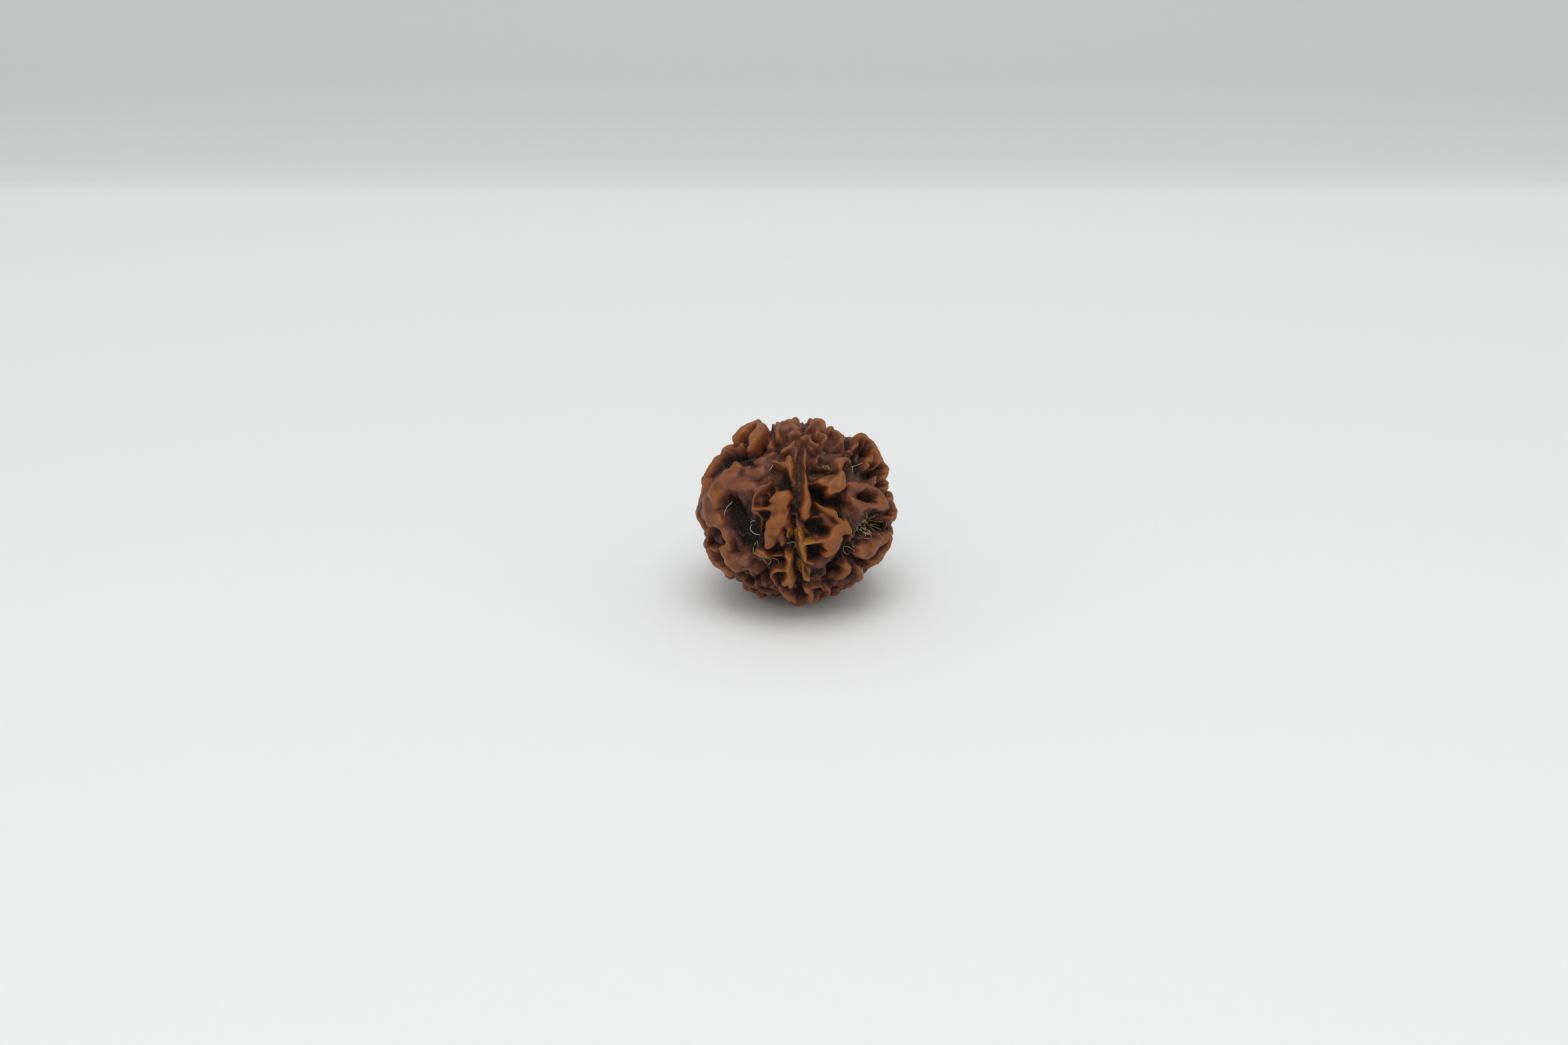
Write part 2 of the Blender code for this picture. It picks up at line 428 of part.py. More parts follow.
def rim_knuckles(rng):
    """Knuckles along both edges of every seam, from pole to pole."""
    knuckles = []
    for number in range(SEAM_COUNT):
        for side in (-1, 1):
            polar = rng.uniform(*RIM_SPACINGS) * RIM_ANGLE
            while polar < math.pi - RIM_STOP * RIM_ANGLE:
                offset = rng.uniform(*RIM_OFFSETS) * SEAM_MARGIN / (CREST_RADIUS * math.sin(polar))
                place = polar_point(seam_azimuth(number, polar) + side * offset, polar)
                panel = (number if side > 0 else number - 1) % SEAM_COUNT
                knuckles.append(Knuckle(place, rng.uniform(*RIM_SIZES), rng.uniform(*RIM_LIFTS), panel))
                polar += rng.uniform(*RIM_SPACINGS) * RIM_ANGLE
    return knuckles


def add_panel_knuckles(rng, knuckles):
    """Fills the panels between the rims: each new knuckle is the farthest of a few tries from the rest."""
    for _ in range(PANEL_KNUCKLES):
        tries = [(rng.uniform(0.0, 2.0 * math.pi), math.acos(rng.uniform(-1.0, 1.0))) for _ in range(TRIES)]
        taken = np.array([knuckle.place for knuckle in knuckles])
        room = [np.linalg.norm(taken - polar_point(*spot), axis=1).min() for spot in tries]
        azimuth, polar = tries[int(np.argmax(room))]
        panel = int(azimuth / (2.0 * math.pi / SEAM_COUNT))
        place = polar_point(azimuth, polar)
        knuckles.append(Knuckle(place, rng.uniform(*PANEL_SIZES), rng.uniform(*PANEL_LIFTS), panel))


def saddle(rng, first, second):
    """A fold from one knuckle to the next, narrower and a little lower midway."""
    bend = np.array([rng.uniform(-FOLD_BEND, FOLD_BEND) for _ in range(3)])
    middle = on_crest((first.place + second.place) / 2.0 + bend)
    waist = rng.uniform(*FOLD_WAISTS) * min(first.half_width, second.half_width)
    dip = rng.uniform(0.0, FOLD_DIP)
    points = np.array([first.place, middle, second.place])
    widths = np.array([first.half_width, waist, second.half_width])
    return points, widths, np.array([first.lift, (first.lift + second.lift) / 2.0 - dip, second.lift])


def side_ridges():
    """Ridges of the sides that the front view does not show: (points, half widths, lifts) of each.

    Next to the outline they sink a little, so that the front view's own outline stands.
    """
    rng = random.Random(SIDE_SEED)
    knuckles = rim_knuckles(rng)
    rim_count = len(knuckles)
    add_panel_knuckles(rng, knuckles)
    ridges = []
    for number, knuckle in enumerate(knuckles):
        ridges.append((knuckle.place[None], np.array([knuckle.half_width]), np.array([knuckle.lift])))
        for other_number, other in enumerate(knuckles[number + 1:], number + 1):
            apart = np.linalg.norm(knuckle.place - other.place)
            along_rim = number < rim_count and other_number == number + 1
            chance = RIM_JOINS if along_rim else PANEL_JOINS
            if apart < JOIN_REACH and knuckle.panel == other.panel and rng.random() < chance:
                ridges.append(saddle(rng, knuckle, other))
    hidden = []
    for points, widths, lifts in ridges:
        towards = max(facing(point) for point in points)
        if towards < FRONT_LIMIT:
            nearness = np.clip((towards - SINK_START) / (FRONT_LIMIT - SINK_START), 0.0, 1.0)
            hidden.append((points, widths, lifts - SINK * nearness))
    return hidden


def side_seams():
    """The seams but for the middle one: (floor, points, half widths) of each, over their hidden part."""
    seams = []
    polars = np.arange(SEAM_STEP, math.pi - SEAM_STEP / 2.0, SEAM_STEP)
    for number in range(1, SEAM_COUNT):
        points = [polar_point(seam_azimuth(number, polar), polar) for polar in polars]
        hidden = np.array([point for point in points if facing(point) < FRONT_LIMIT])
        if len(hidden) > 1:
            seams.append((SEAM_FLOOR, hidden, np.full(len(hidden), SEAM_HALF_WIDTH)))
    return seams


def along_path(places, points, widths):
    """Distance from each place to a path, with the half width and the share of the way nearest to it."""
    if len(points) == 1:
        distance = np.linalg.norm(places - points[0], axis=1)
        return distance, np.full(len(places), widths[0]), np.zeros(len(places))
    nearest = np.full(len(places), np.inf)
    way = np.zeros(len(places))
    for number in range(len(points) - 1):
        leg = points[number + 1] - points[number]
        share = np.clip((places - points[number]) @ leg / max(leg @ leg, 1e-9), 0.0, 1.0)
        distance = np.linalg.norm(places - points[number] - share[:, None] * leg, axis=1)
        closer = distance < nearest
        nearest[closer] = distance[closer]
        way[closer] = number + share[closer]
    return nearest, np.interp(way, np.arange(len(widths)), widths), way


def near_path(places, points, widths):
    """Numbers of the places that a path can touch."""
    middle = points.mean(axis=0)
    reach = np.linalg.norm(points - middle, axis=1).max() + widths.max() + REACH
    return np.flatnonzero(((places - middle) ** 2).sum(axis=1) < reach * reach)


def ripple(places, pitch, seed):
    """Smooth noise between about -1 and 1, the sum of a few plane waves in seeded directions."""
    rng = np.random.default_rng(seed)
    total = np.zeros(len(places))
    for _ in range(WAVES):
        direction = rng.normal(size=3)
        direction /= np.linalg.norm(direction)
        length = pitch * rng.uniform(*WAVE_PITCHES)
        total += np.sin(places @ direction * 2.0 * math.pi / length + rng.uniform(0.0, 2.0 * math.pi))
    return total / (WAVE_PEAK * math.sqrt(WAVES / 2.0))


def moved_about(places, pitch, size, first_seed):
    """How far noise moves each place, along each axis."""
    return size * np.stack([ripple(places, pitch, first_seed + axis) for axis in range(3)], axis=1)


def middle_ground(places):
    """Height of the ground between the ridges, which lies lower on the hidden sides."""
    turned_away = smooth_step(places[:, 1] / CREST_RADIUS + HIDDEN_START)
    return GROUND - HIDDEN_GROUND_DROP * turned_away + GROUND_SWELL * ripple(places, GROUND_PITCH, 6)


def drawn(features):
    """Ridges drawn in the front view: (points, half widths, lift) of each."""
    return [(*front_path(ridge.path, ridge.lift), ridge.lift) for ridge in features]


def raise_ridges(places, height, ridges):
    """Raises ridges over the ground, with a soft fillet where one form runs into another."""
    for points, widths, lifts in ridges:
        near = near_path(places, points, widths)
        distance, width, way = along_path(places[near], points, widths)
        lift = np.interp(way, np.arange(len(points)), np.broadcast_to(lifts, len(points)))
        fall = smooth_step((distance - SHOULDER * width) / ((1.0 - SHOULDER) * width + FLANK))
        crown = CROWN_DROP * np.minimum(distance / width, 1.0) ** 2
        risen = lift - crown - fall * (lift - crown + ROOT_DEPTH)
        gap = np.maximum(FILLET - np.abs(height[near] - risen), 0.0)
        height[near] = np.maximum(height[near], risen) + gap**2 / (4.0 * FILLET)


def cut_down(places, height, cuts, wall):
    """Lowers the height where pits, creases and seams go down, with walls of the given width."""
    for floor, points, widths in cuts:
        near = near_path(places, points, widths)
        distance, width, _ = along_path(places[near], points, widths)
        inside = 1.0 - smooth_step((distance - FLOOR_SHARE * width) / ((1.0 - FLOOR_SHARE) * width + wall))
        height[near] -= inside * np.maximum(height[near] - floor, 0.0)


def relief(directions):
    """Height of the stone's surface over its mean crest, along unit directions."""
    places = directions * crest_radius(directions)[:, None]
    for pitch, size, first_seed in WANDER:
        places = places + moved_about(places, pitch, size, first_seed)
    height = middle_ground(places)
    raise_ridges(places, height, drawn(FRONT_RIDGES) + side_ridges())
    cut_down(places, height, [(pit.floor, *front_path(pit.path, GROUND)) for pit in PITS], PIT_WALL)
    raise_ridges(places, height, drawn(PIT_KNOBS))
    cuts = [(cut.floor, *front_path(cut.path, 0.0)) for cut in FRONT_CUTS]
    cuts += [(cut.floor, *edge_path(cut.path)) for cut in OVER_THE_EDGE]
    cut_down(places, height, cuts + side_seams(), CREASE_WALL)
    for pitch, size, seed in RIPPLES:
        height += size * ripple(places, pitch, seed)
    return height


def stand(surface):
    """Shapes the feet and the flat spot, keeps the rest off the table, and returns the tips' vertices."""
    down = np.array((0.0, math.sin(LEAN_BACK), -math.cos(LEAN_BACK)))
    ahead = np.array((0.0, -math.cos(LEAN_BACK), -math.sin(LEAN_BACK)))
    under = np.flatnonzero(surface @ down > UNDERSIDE)
    depth = surface[under] @ down
    aside = np.stack([surface[under, 0], surface[under] @ ahead], axis=1)
    rim = np.maximum(np.linalg.norm(aside - FLAT_SPOT, axis=1) - FLAT_RADIUS, 0.0)
    least = REST_HEIGHT - FLAT_RECESS - rim
    most = REST_HEIGHT - FLAT_RECESS - np.minimum(FLAT_EDGE * rim, CLEARANCE)
    tips = []
    for foot in FEET:
        tip = np.argmin(np.linalg.norm(aside - foot, axis=1))
        apart = np.linalg.norm(aside - aside[tip], axis=1)
        most = np.maximum(most, REST_HEIGHT - FOOT_SLOPE * apart)
        least = np.maximum(least, REST_HEIGHT - FOOT_SLOPE * apart - apart**2 / (2.0 * FOOT_ROUND))
        tips.extend(under[apart < TIP_GUARD].tolist())
    surface[under] += (np.clip(depth, least, most) - depth)[:, None] * down
    return tips


def stone_surface(directions):
    """Points of the stone's surface in its own frame, along unit directions."""
    height = relief(directions)
    surface = directions * (crest_radius(directions) + height)[:, None]
    wobble = 1.0 - (1.0 - CREST_WOBBLE_SHARE) * smooth_step(height / CREST_DEPTH + 1.0)
    return surface + wobble[:, None] * moved_about(surface, *WOBBLE)


def stone_material():
    """Oiled brown wood of the stone."""
    material = bpy.data.materials.new("oiled_stone_wood")
    material.use_nodes = True
    shader = material.node_tree.nodes["Principled BSDF"]
    shader.inputs["Base Color"].default_value = (0.21, 0.085, 0.038, 1.0)
    shader.inputs["Roughness"].default_value = 0.5
    shader.inputs["Metallic"].default_value = 0.0
    return material


def stone_mesh():
    """A fine sphere pushed out to the stone's surface, that surface's points, and its feet's tips."""
    shape = bmesh.new()
    bmesh.ops.create_icosphere(shape, subdivisions=SPHERE_LEVEL, radius=1.0)
    directions = np.array([vertex.co[:] for vertex in shape.verts])
    directions /= np.linalg.norm(directions, axis=1)[:, None]
    surface = stone_surface(directions)
    tips = stand(surface)
    mesh = bpy.data.meshes.new("rudraksha_stone")
    shape.to_mesh(mesh)
    shape.free()
    mesh.vertices.foreach_set("co", (surface * MM).ravel())
    mesh.update()
    mesh.materials.append(stone_material())
    mesh.shade_smooth()
    return mesh, surface, tips


def build_stone():
    """The stone as one object, leaned back, with its middle over the origin and its feet on the table."""
    mesh, surface, tips = stone_mesh()
    stone = bpy.data.objects.new("rudraksha_stone", mesh)
    bpy.context.scene.collection.objects.link(stone)
    lean = Euler((-LEAN_BACK, 0.0, 0.0))
    leaned = surface @ np.array(lean.to_matrix()).T
    middle = (leaned.min(axis=0) + leaned.max(axis=0)) / 2.0
    stone.rotation_euler = lean
    stone.location = (-middle[0] * MM, -middle[1] * MM, REST_HEIGHT * MM)

    kept = stone.vertex_groups.new(name="foot_tips")
    kept.add(tips, 1.0, "REPLACE")
    thinned = stone.modifiers.new("thin_out", "DECIMATE")
    thinned.ratio = SOLID_TRIANGLES / len(mesh.polygons)
    thinned.vertex_group = kept.name
    thinned.invert_vertex_group = True
    thinned.vertex_group_factor = TIP_WEIGHT


def main():
    for item in list(bpy.data.objects):
        bpy.data.objects.remove(item)
    build_stone()


main()
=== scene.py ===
"""Looks of a rudraksha seed: one woody stone with knuckled ridges, deep pits and five seams.

The stone is drawn in its own frame, in millimetres, with its seams running from pole to pole along Z
and its front towards -Y. It is then leaned back and set down on three low knuckles, inside the box
that the solid model gives. Wisps of dried pulp, cotton lint and pale dust lie caught in its pits.
"""

import logging
import math
import random
from dataclasses import dataclass, field
from enum import Enum

import bmesh
import bpy
import numpy as np
from mathutils import Euler, Matrix, Vector, noise


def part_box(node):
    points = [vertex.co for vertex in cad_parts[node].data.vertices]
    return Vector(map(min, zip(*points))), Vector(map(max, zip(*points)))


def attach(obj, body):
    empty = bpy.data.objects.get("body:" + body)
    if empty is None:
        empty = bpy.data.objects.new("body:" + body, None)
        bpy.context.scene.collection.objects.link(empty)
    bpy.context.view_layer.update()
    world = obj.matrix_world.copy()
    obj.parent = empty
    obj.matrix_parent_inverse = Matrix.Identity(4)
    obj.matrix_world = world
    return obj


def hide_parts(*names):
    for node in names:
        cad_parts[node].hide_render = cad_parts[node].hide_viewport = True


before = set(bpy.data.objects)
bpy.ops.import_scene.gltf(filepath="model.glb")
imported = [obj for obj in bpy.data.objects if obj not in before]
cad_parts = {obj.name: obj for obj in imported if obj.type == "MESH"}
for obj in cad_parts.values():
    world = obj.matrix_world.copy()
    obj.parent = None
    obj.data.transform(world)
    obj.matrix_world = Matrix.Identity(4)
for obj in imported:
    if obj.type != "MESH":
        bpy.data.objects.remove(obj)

LOG = logging.getLogger("rudraksha_seed")
MM = 0.001
STONE_NODE = "rudraksha_stone"
BODY = "root"

# Noise: how many plane waves it adds up, the shares of its pitch that theirs lie between, and how
# many times its usual size its peaks reach
WAVES = 10
WAVE_PITCHES = (0.7, 1.6)
WAVE_PEAK = 1.6


@dataclass(frozen=True)
class Ridge:
    """A raised fold: its crest's height over the mean crest, and (right, up, half width) along it."""

    lift: float
    path: tuple


@dataclass(frozen=True)
class Cut:
    """A pit, crease or seam: the height of its floor, and (right, up, half width) along it."""

    floor: float
    path: tuple


@dataclass(frozen=True)
class Knuckle:
    """A raised knuckle of the hidden sides: its place on the mean crest, size, height and panel."""

    place: np.ndarray
    half_width: float
    lift: float
    panel: int


SEAM_EDGES = (
    # Left edge of the middle seam, from the top down
    Ridge(0.15, ((-0.15, 8.35, 0.22), (-0.55, 7.8, 0.4), (-1.25, 7.4, 0.4), (-1.9, 7.1, 0.25))),
    Ridge(0.35, ((-2.75, 5.85, 0.4), (-2.1, 5.4, 0.5), (-1.3, 5.6, 0.55))),
    Ridge(0.35, ((-1.05, 6.25, 0.42), (-0.95, 5.4, 0.5), (-0.8, 4.5, 0.32), (-0.7, 3.8, 0.15))),
    Ridge(0.3, ((-3.2, 1.3, 0.45), (-2.3, 1.45, 0.8), (-1.3, 1.75, 0.6))),
    Ridge(0.3, ((-2.1, 1.2, 1.2), (-2.2, 0.2, 1.25), (-2.4, -1.0, 1.15), (-2.8, -2.2, 1.0))),
    Ridge(0.25, ((-2.9, -2.0, 0.9), (-3.15, -3.0, 0.8), (-3.4, -3.8, 0.65), (-3.6, -4.35, 0.4))),
    Ridge(-0.1, ((-2.7, -2.6, 0.7), (-2.0, -3.3, 0.7), (-1.8, -4.0, 0.45))),
    Ridge(-0.1, ((-1.0, -2.65, 0.16), (-0.95, -3.2, 0.22))),
    Ridge(0.1, (
        (-1.4, -5.2, 0.4), (-1.0, -6.2, 0.3), (-1.1, -7.2, 0.34), (-0.9, -8.2, 0.4), (-0.7, -9.3, 0.42),
    )),
    Ridge(0.1, ((-1.0, -8.2, 0.4), (-1.5, -8.9, 0.45))),
    # Right edge of the middle seam, from the top down
    Ridge(0.2, ((1.1, 7.35, 0.14), (1.05, 6.5, 0.32), (0.95, 5.6, 0.24), (1.0, 4.6, 0.16), (1.1, 3.5, 0.3))),
    Ridge(0.2, ((1.1, 3.4, 0.32), (1.1, 2.4, 0.34), (1.15, 1.4, 0.5), (1.05, 0.3, 0.6), (1.0, -0.8, 0.55))),
    Ridge(0.2, (
        (0.15, -2.7, 0.2), (0.35, -3.4, 0.34), (0.5, -4.4, 0.4), (0.7, -5.3, 0.34), (0.8, -6.0, 0.34),
    )),
    Ridge(0.1, ((0.9, -6.2, 0.34), (1.5, -6.35, 0.3), (1.95, -6.4, 0.2))),
    Ridge(0.1, ((0.5, -6.8, 0.22), (0.55, -7.6, 0.26), (0.8, -8.3, 0.42), (1.35, -8.4, 0.45))),
    Ridge(-0.3, ((1.2, -7.1, 0.4), (1.4, -7.9, 0.5))),
)

LEFT_PANEL = (
    # Round knob under the long column, its arm to the seam, and the loops below
    Ridge(0.15, ((-4.8, -5.15, 0.5), (-4.2, -5.3, 0.62), (-3.5, -5.5, 0.45))),
    Ridge(-0.3, ((-3.4, -5.5, 0.4), (-2.4, -5.4, 0.34), (-1.4, -5.2, 0.36))),
    Ridge(-0.1, ((-1.3, -7.3, 0.28), (-2.2, -7.2, 0.36), (-3.0, -7.5, 0.38), (-3.05, -8.1, 0.26))),
    Ridge(-0.1, ((-3.0, -8.1, 0.26), (-2.5, -8.9, 0.28), (-1.9, -9.8, 0.4), (-1.2, -10.4, 0.5))),
    Ridge(0.2, ((-1.4, -10.3, 0.5), (-0.8, -10.8, 0.55), (0.0, -11.1, 0.45))),
    Ridge(-0.6, ((-3.0, -9.2, 0.36),)),
    Ridge(-0.4, ((-4.9, -7.6, 0.24), (-4.4, -8.2, 0.32), (-3.9, -8.85, 0.36))),
    Ridge(-0.6, ((-4.9, -8.6, 0.28), (-4.7, -9.3, 0.36))),
    Ridge(-0.5, ((-6.6, -8.1, 0.3), (-5.8, -8.9, 0.42), (-5.0, -9.3, 0.36))),
    Ridge(-0.7, ((-4.4, -9.6, 0.36), (-3.2, -9.8, 0.36), (-2.3, -9.9, 0.28))),
    # Bridge from the column to the big left pit, and the thin folds round it
    Ridge(0.0, ((-3.4, 0.3, 0.5), (-4.4, 0.15, 0.32), (-5.2, 0.15, 0.34))),
    Ridge(-0.4, ((-5.1, -0.2, 0.36), (-4.5, -0.7, 0.22), (-4.25, -1.5, 0.16), (-4.3, -2.6, 0.14))),
    Ridge(-0.3, (
        (-5.3, 0.2, 0.32), (-5.25, 1.1, 0.26), (-5.0, 1.9, 0.3), (-4.4, 2.6, 0.36), (-3.2, 3.4, 0.2),
    )),
    Ridge(-0.2, ((-2.75, 2.8, 0.16), (-2.4, 2.2, 0.28), (-2.0, 1.9, 0.4))),
    # Small round knob under the notch in the top
    Ridge(-0.3, ((-3.1, 8.3, 0.5), (-3.2, 7.7, 0.5))),
)

LEFT_LOBE = (
    # Broad dough-like lobe round the left pit
    Ridge(0.1, ((-7.4, 5.3, 0.8), (-8.1, 4.5, 1.5), (-9.3, 3.4, 1.9), (-10.0, 2.1, 1.9))),
    Ridge(0.1, ((-10.0, 2.1, 1.8), (-10.4, 0.8, 1.7), (-10.4, -0.5, 1.5), (-9.6, -1.3, 1.0))),
    Ridge(-0.1, ((-8.2, 3.4, 1.3), (-7.0, 3.3, 1.1), (-6.1, 2.9, 0.8), (-5.3, 2.7, 0.55))),
    Ridge(0.2, (
        (-11.0, 3.3, 0.6), (-11.5, 1.4, 0.8), (-11.9, -0.4, 0.9), (-11.5, -1.6, 0.7), (-11.2, -2.4, 0.4),
    )),
    Ridge(0.15, ((-10.8, 3.2, 0.9), (-11.1, 1.3, 1.2), (-11.2, -0.4, 1.1), (-10.7, -1.5, 0.7))),
    # Rim of the round hole on the left, and the lobe below it
    Ridge(0.0, ((-9.5, -2.0, 0.55), (-8.9, -2.9, 0.4), (-8.4, -3.9, 0.5), (-8.5, -4.9, 0.7))),
    Ridge(0.0, ((-10.8, -2.3, 0.3), (-10.9, -3.6, 0.24), (-10.6, -4.6, 0.34), (-9.8, -4.8, 0.3))),
    Ridge(0.1, ((-8.8, -5.2, 1.05), (-8.2, -6.1, 1.3), (-7.7, -6.8, 1.05))),
    Ridge(-0.1, ((-7.6, -6.0, 1.0), (-6.7, -6.2, 0.8), (-6.1, -5.8, 0.45))),
    Ridge(-0.6, ((-6.7, -6.9, 0.7), (-5.8, -7.0, 0.55), (-5.4, -7.6, 0.35))),
    Ridge(0.3, ((-10.7, -5.0, 0.45), (-10.1, -6.2, 0.6), (-9.1, -7.2, 0.6), (-8.1, -7.8, 0.5))),
    # Upper left rim behind the lobe
    Ridge(0.3, ((-8.0, 7.7, 0.6), (-9.2, 7.0, 0.7), (-10.2, 5.7, 0.7), (-10.8, 4.4, 0.6))),
    Ridge(0.0, ((-8.6, 7.1, 0.45), (-7.8, 7.35, 0.5), (-7.0, 7.5, 0.5), (-6.5, 8.0, 0.45))),
    # The two tall fingers at the upper left
    Ridge(0.9, ((-7.5, 8.8, 0.5), (-7.0, 9.5, 0.6), (-6.0, 10.2, 0.55), (-4.8, 10.8, 0.45))),
    Ridge(0.8, ((-4.25, 10.6, 0.6), (-4.6, 9.7, 0.75), (-5.2, 8.7, 0.75), (-5.7, 7.7, 0.5))),
)

TOP = (
    Ridge(0.15, ((-1.7, 10.1, 1.0), (-0.8, 10.3, 1.1), (0.1, 10.1, 0.6))),
    Ridge(0.35, ((-2.2, 10.6, 0.36), (-2.4, 9.8, 0.36), (-2.35, 8.9, 0.3))),
    Ridge(0.25, ((-1.5, 10.6, 0.5), (-0.7, 10.8, 0.6), (0.1, 10.7, 0.4), (0.5, 10.8, 0.22))),
    Ridge(-0.2, ((-0.9, 9.2, 0.55), (-0.1, 9.4, 0.6), (0.5, 9.2, 0.45))),
    Ridge(-0.1, ((0.8, 8.7, 0.4), (1.4, 9.0, 0.26), (1.8, 8.4, 0.36), (2.5, 8.0, 0.4))),
    Ridge(0.1, ((1.2, 9.9, 0.28), (1.9, 10.2, 0.3), (2.6, 9.7, 0.3), (2.4, 9.2, 0.26))),
    Ridge(0.75, ((2.3, 10.9, 0.45), (3.0, 10.7, 0.5), (3.4, 10.1, 0.4))),
    Ridge(-0.2, ((1.5, 7.75, 0.28), (2.0, 7.4, 0.34))),
)

RIGHT_PANEL = (
    # Net of sharp folds at the upper right
    Ridge(0.0, ((2.7, 9.2, 0.24), (3.3, 8.8, 0.32), (3.5, 8.2, 0.34), (3.7, 7.8, 0.26))),
    Ridge(0.1, ((3.3, 9.4, 0.24), (4.3, 9.7, 0.34), (5.1, 9.3, 0.34), (5.7, 8.7, 0.26))),
    Ridge(-0.1, ((5.4, 8.8, 0.2), (5.3, 8.1, 0.3), (4.6, 7.9, 0.2), (3.8, 7.9, 0.24))),
    Ridge(0.05, ((5.4, 8.5, 0.26), (5.6, 7.8, 0.32), (6.0, 7.3, 0.26), (6.5, 6.9, 0.15))),
    Ridge(-0.1, ((2.75, 6.7, 0.34), (2.4, 6.2, 0.34), (2.1, 5.6, 0.16))),
    Ridge(0.0, ((5.2, 6.15, 0.5), (4.2, 6.25, 0.3), (3.3, 6.5, 0.22))),
    Ridge(0.1, ((5.3, 4.4, 0.5), (5.2, 5.2, 0.5), (5.4, 6.0, 0.5), (6.0, 6.1, 0.36), (6.2, 5.8, 0.2))),
    Ridge(-0.5, ((5.0, 4.7, 0.36), (3.6, 5.0, 0.16), (2.3, 5.3, 0.12), (2.1, 5.6, 0.12))),
    # The palm-shaped lobe beside the seam
    Ridge(0.25, ((2.3, 3.35, 0.26), (3.2, 3.55, 0.6), (4.2, 3.5, 1.05), (5.2, 3.4, 1.1))),
    Ridge(0.3, ((4.9, 3.1, 1.05), (4.4, 2.4, 0.95), (3.8, 1.9, 0.55))),
    Ridge(0.15, ((5.3, 4.4, 0.5), (5.4, 3.5, 0.6), (5.2, 2.7, 0.45))),
    Ridge(-0.4, ((1.2, 3.2, 0.26), (2.2, 3.3, 0.22))),
    # The long lobe below it, round two pits
    Ridge(0.1, ((2.5, 0.8, 0.22), (3.0, 0.3, 0.34), (3.5, -0.1, 0.3))),
    Ridge(0.2, ((3.6, -0.1, 0.34), (4.5, -0.6, 0.5), (5.3, -1.2, 0.6), (6.1, -1.9, 0.62), (6.3, -2.6, 0.5))),
    Ridge(0.3, ((6.0, -2.4, 0.7), (5.2, -2.5, 1.0), (4.7, -3.3, 1.15), (4.0, -4.0, 0.95))),
    Ridge(0.25, ((5.0, -3.7, 0.75), (4.4, -4.7, 0.75), (3.7, -5.3, 0.5))),
    Ridge(0.15, ((4.0, -3.6, 0.65), (2.7, -3.75, 0.34), (1.8, -3.9, 0.22), (0.9, -4.1, 0.3))),
    Ridge(-0.4, ((3.2, -0.6, 0.5), (3.9, -1.4, 0.6), (4.4, -2.0, 0.5))),
    Ridge(-0.3, ((4.2, -5.2, 0.45), (3.9, -5.85, 0.25))),
    Ridge(-0.2, ((6.4, -3.0, 0.26), (6.3, -3.7, 0.24))),
    # Knobs under it, round the lower pit
    Ridge(0.1, (
        (5.7, -6.5, 0.5), (6.1, -7.1, 0.55), (5.6, -7.9, 0.5), (4.9, -8.4, 0.42), (4.1, -8.65, 0.42),
    )),
    Ridge(-0.2, ((1.4, -9.3, 0.46), (2.2, -9.1, 0.36), (2.9, -9.3, 0.28), (3.2, -9.6, 0.2))),
    Ridge(0.2, ((1.3, -9.6, 0.46), (1.65, -10.4, 0.5), (1.75, -11.0, 0.5), (2.5, -10.7, 0.4))),
    Ridge(0.0, ((3.7, -9.5, 0.3), (3.8, -10.2, 0.36))),
    Ridge(-0.4, ((5.3, -9.3, 0.45), (4.8, -9.8, 0.36))),
)

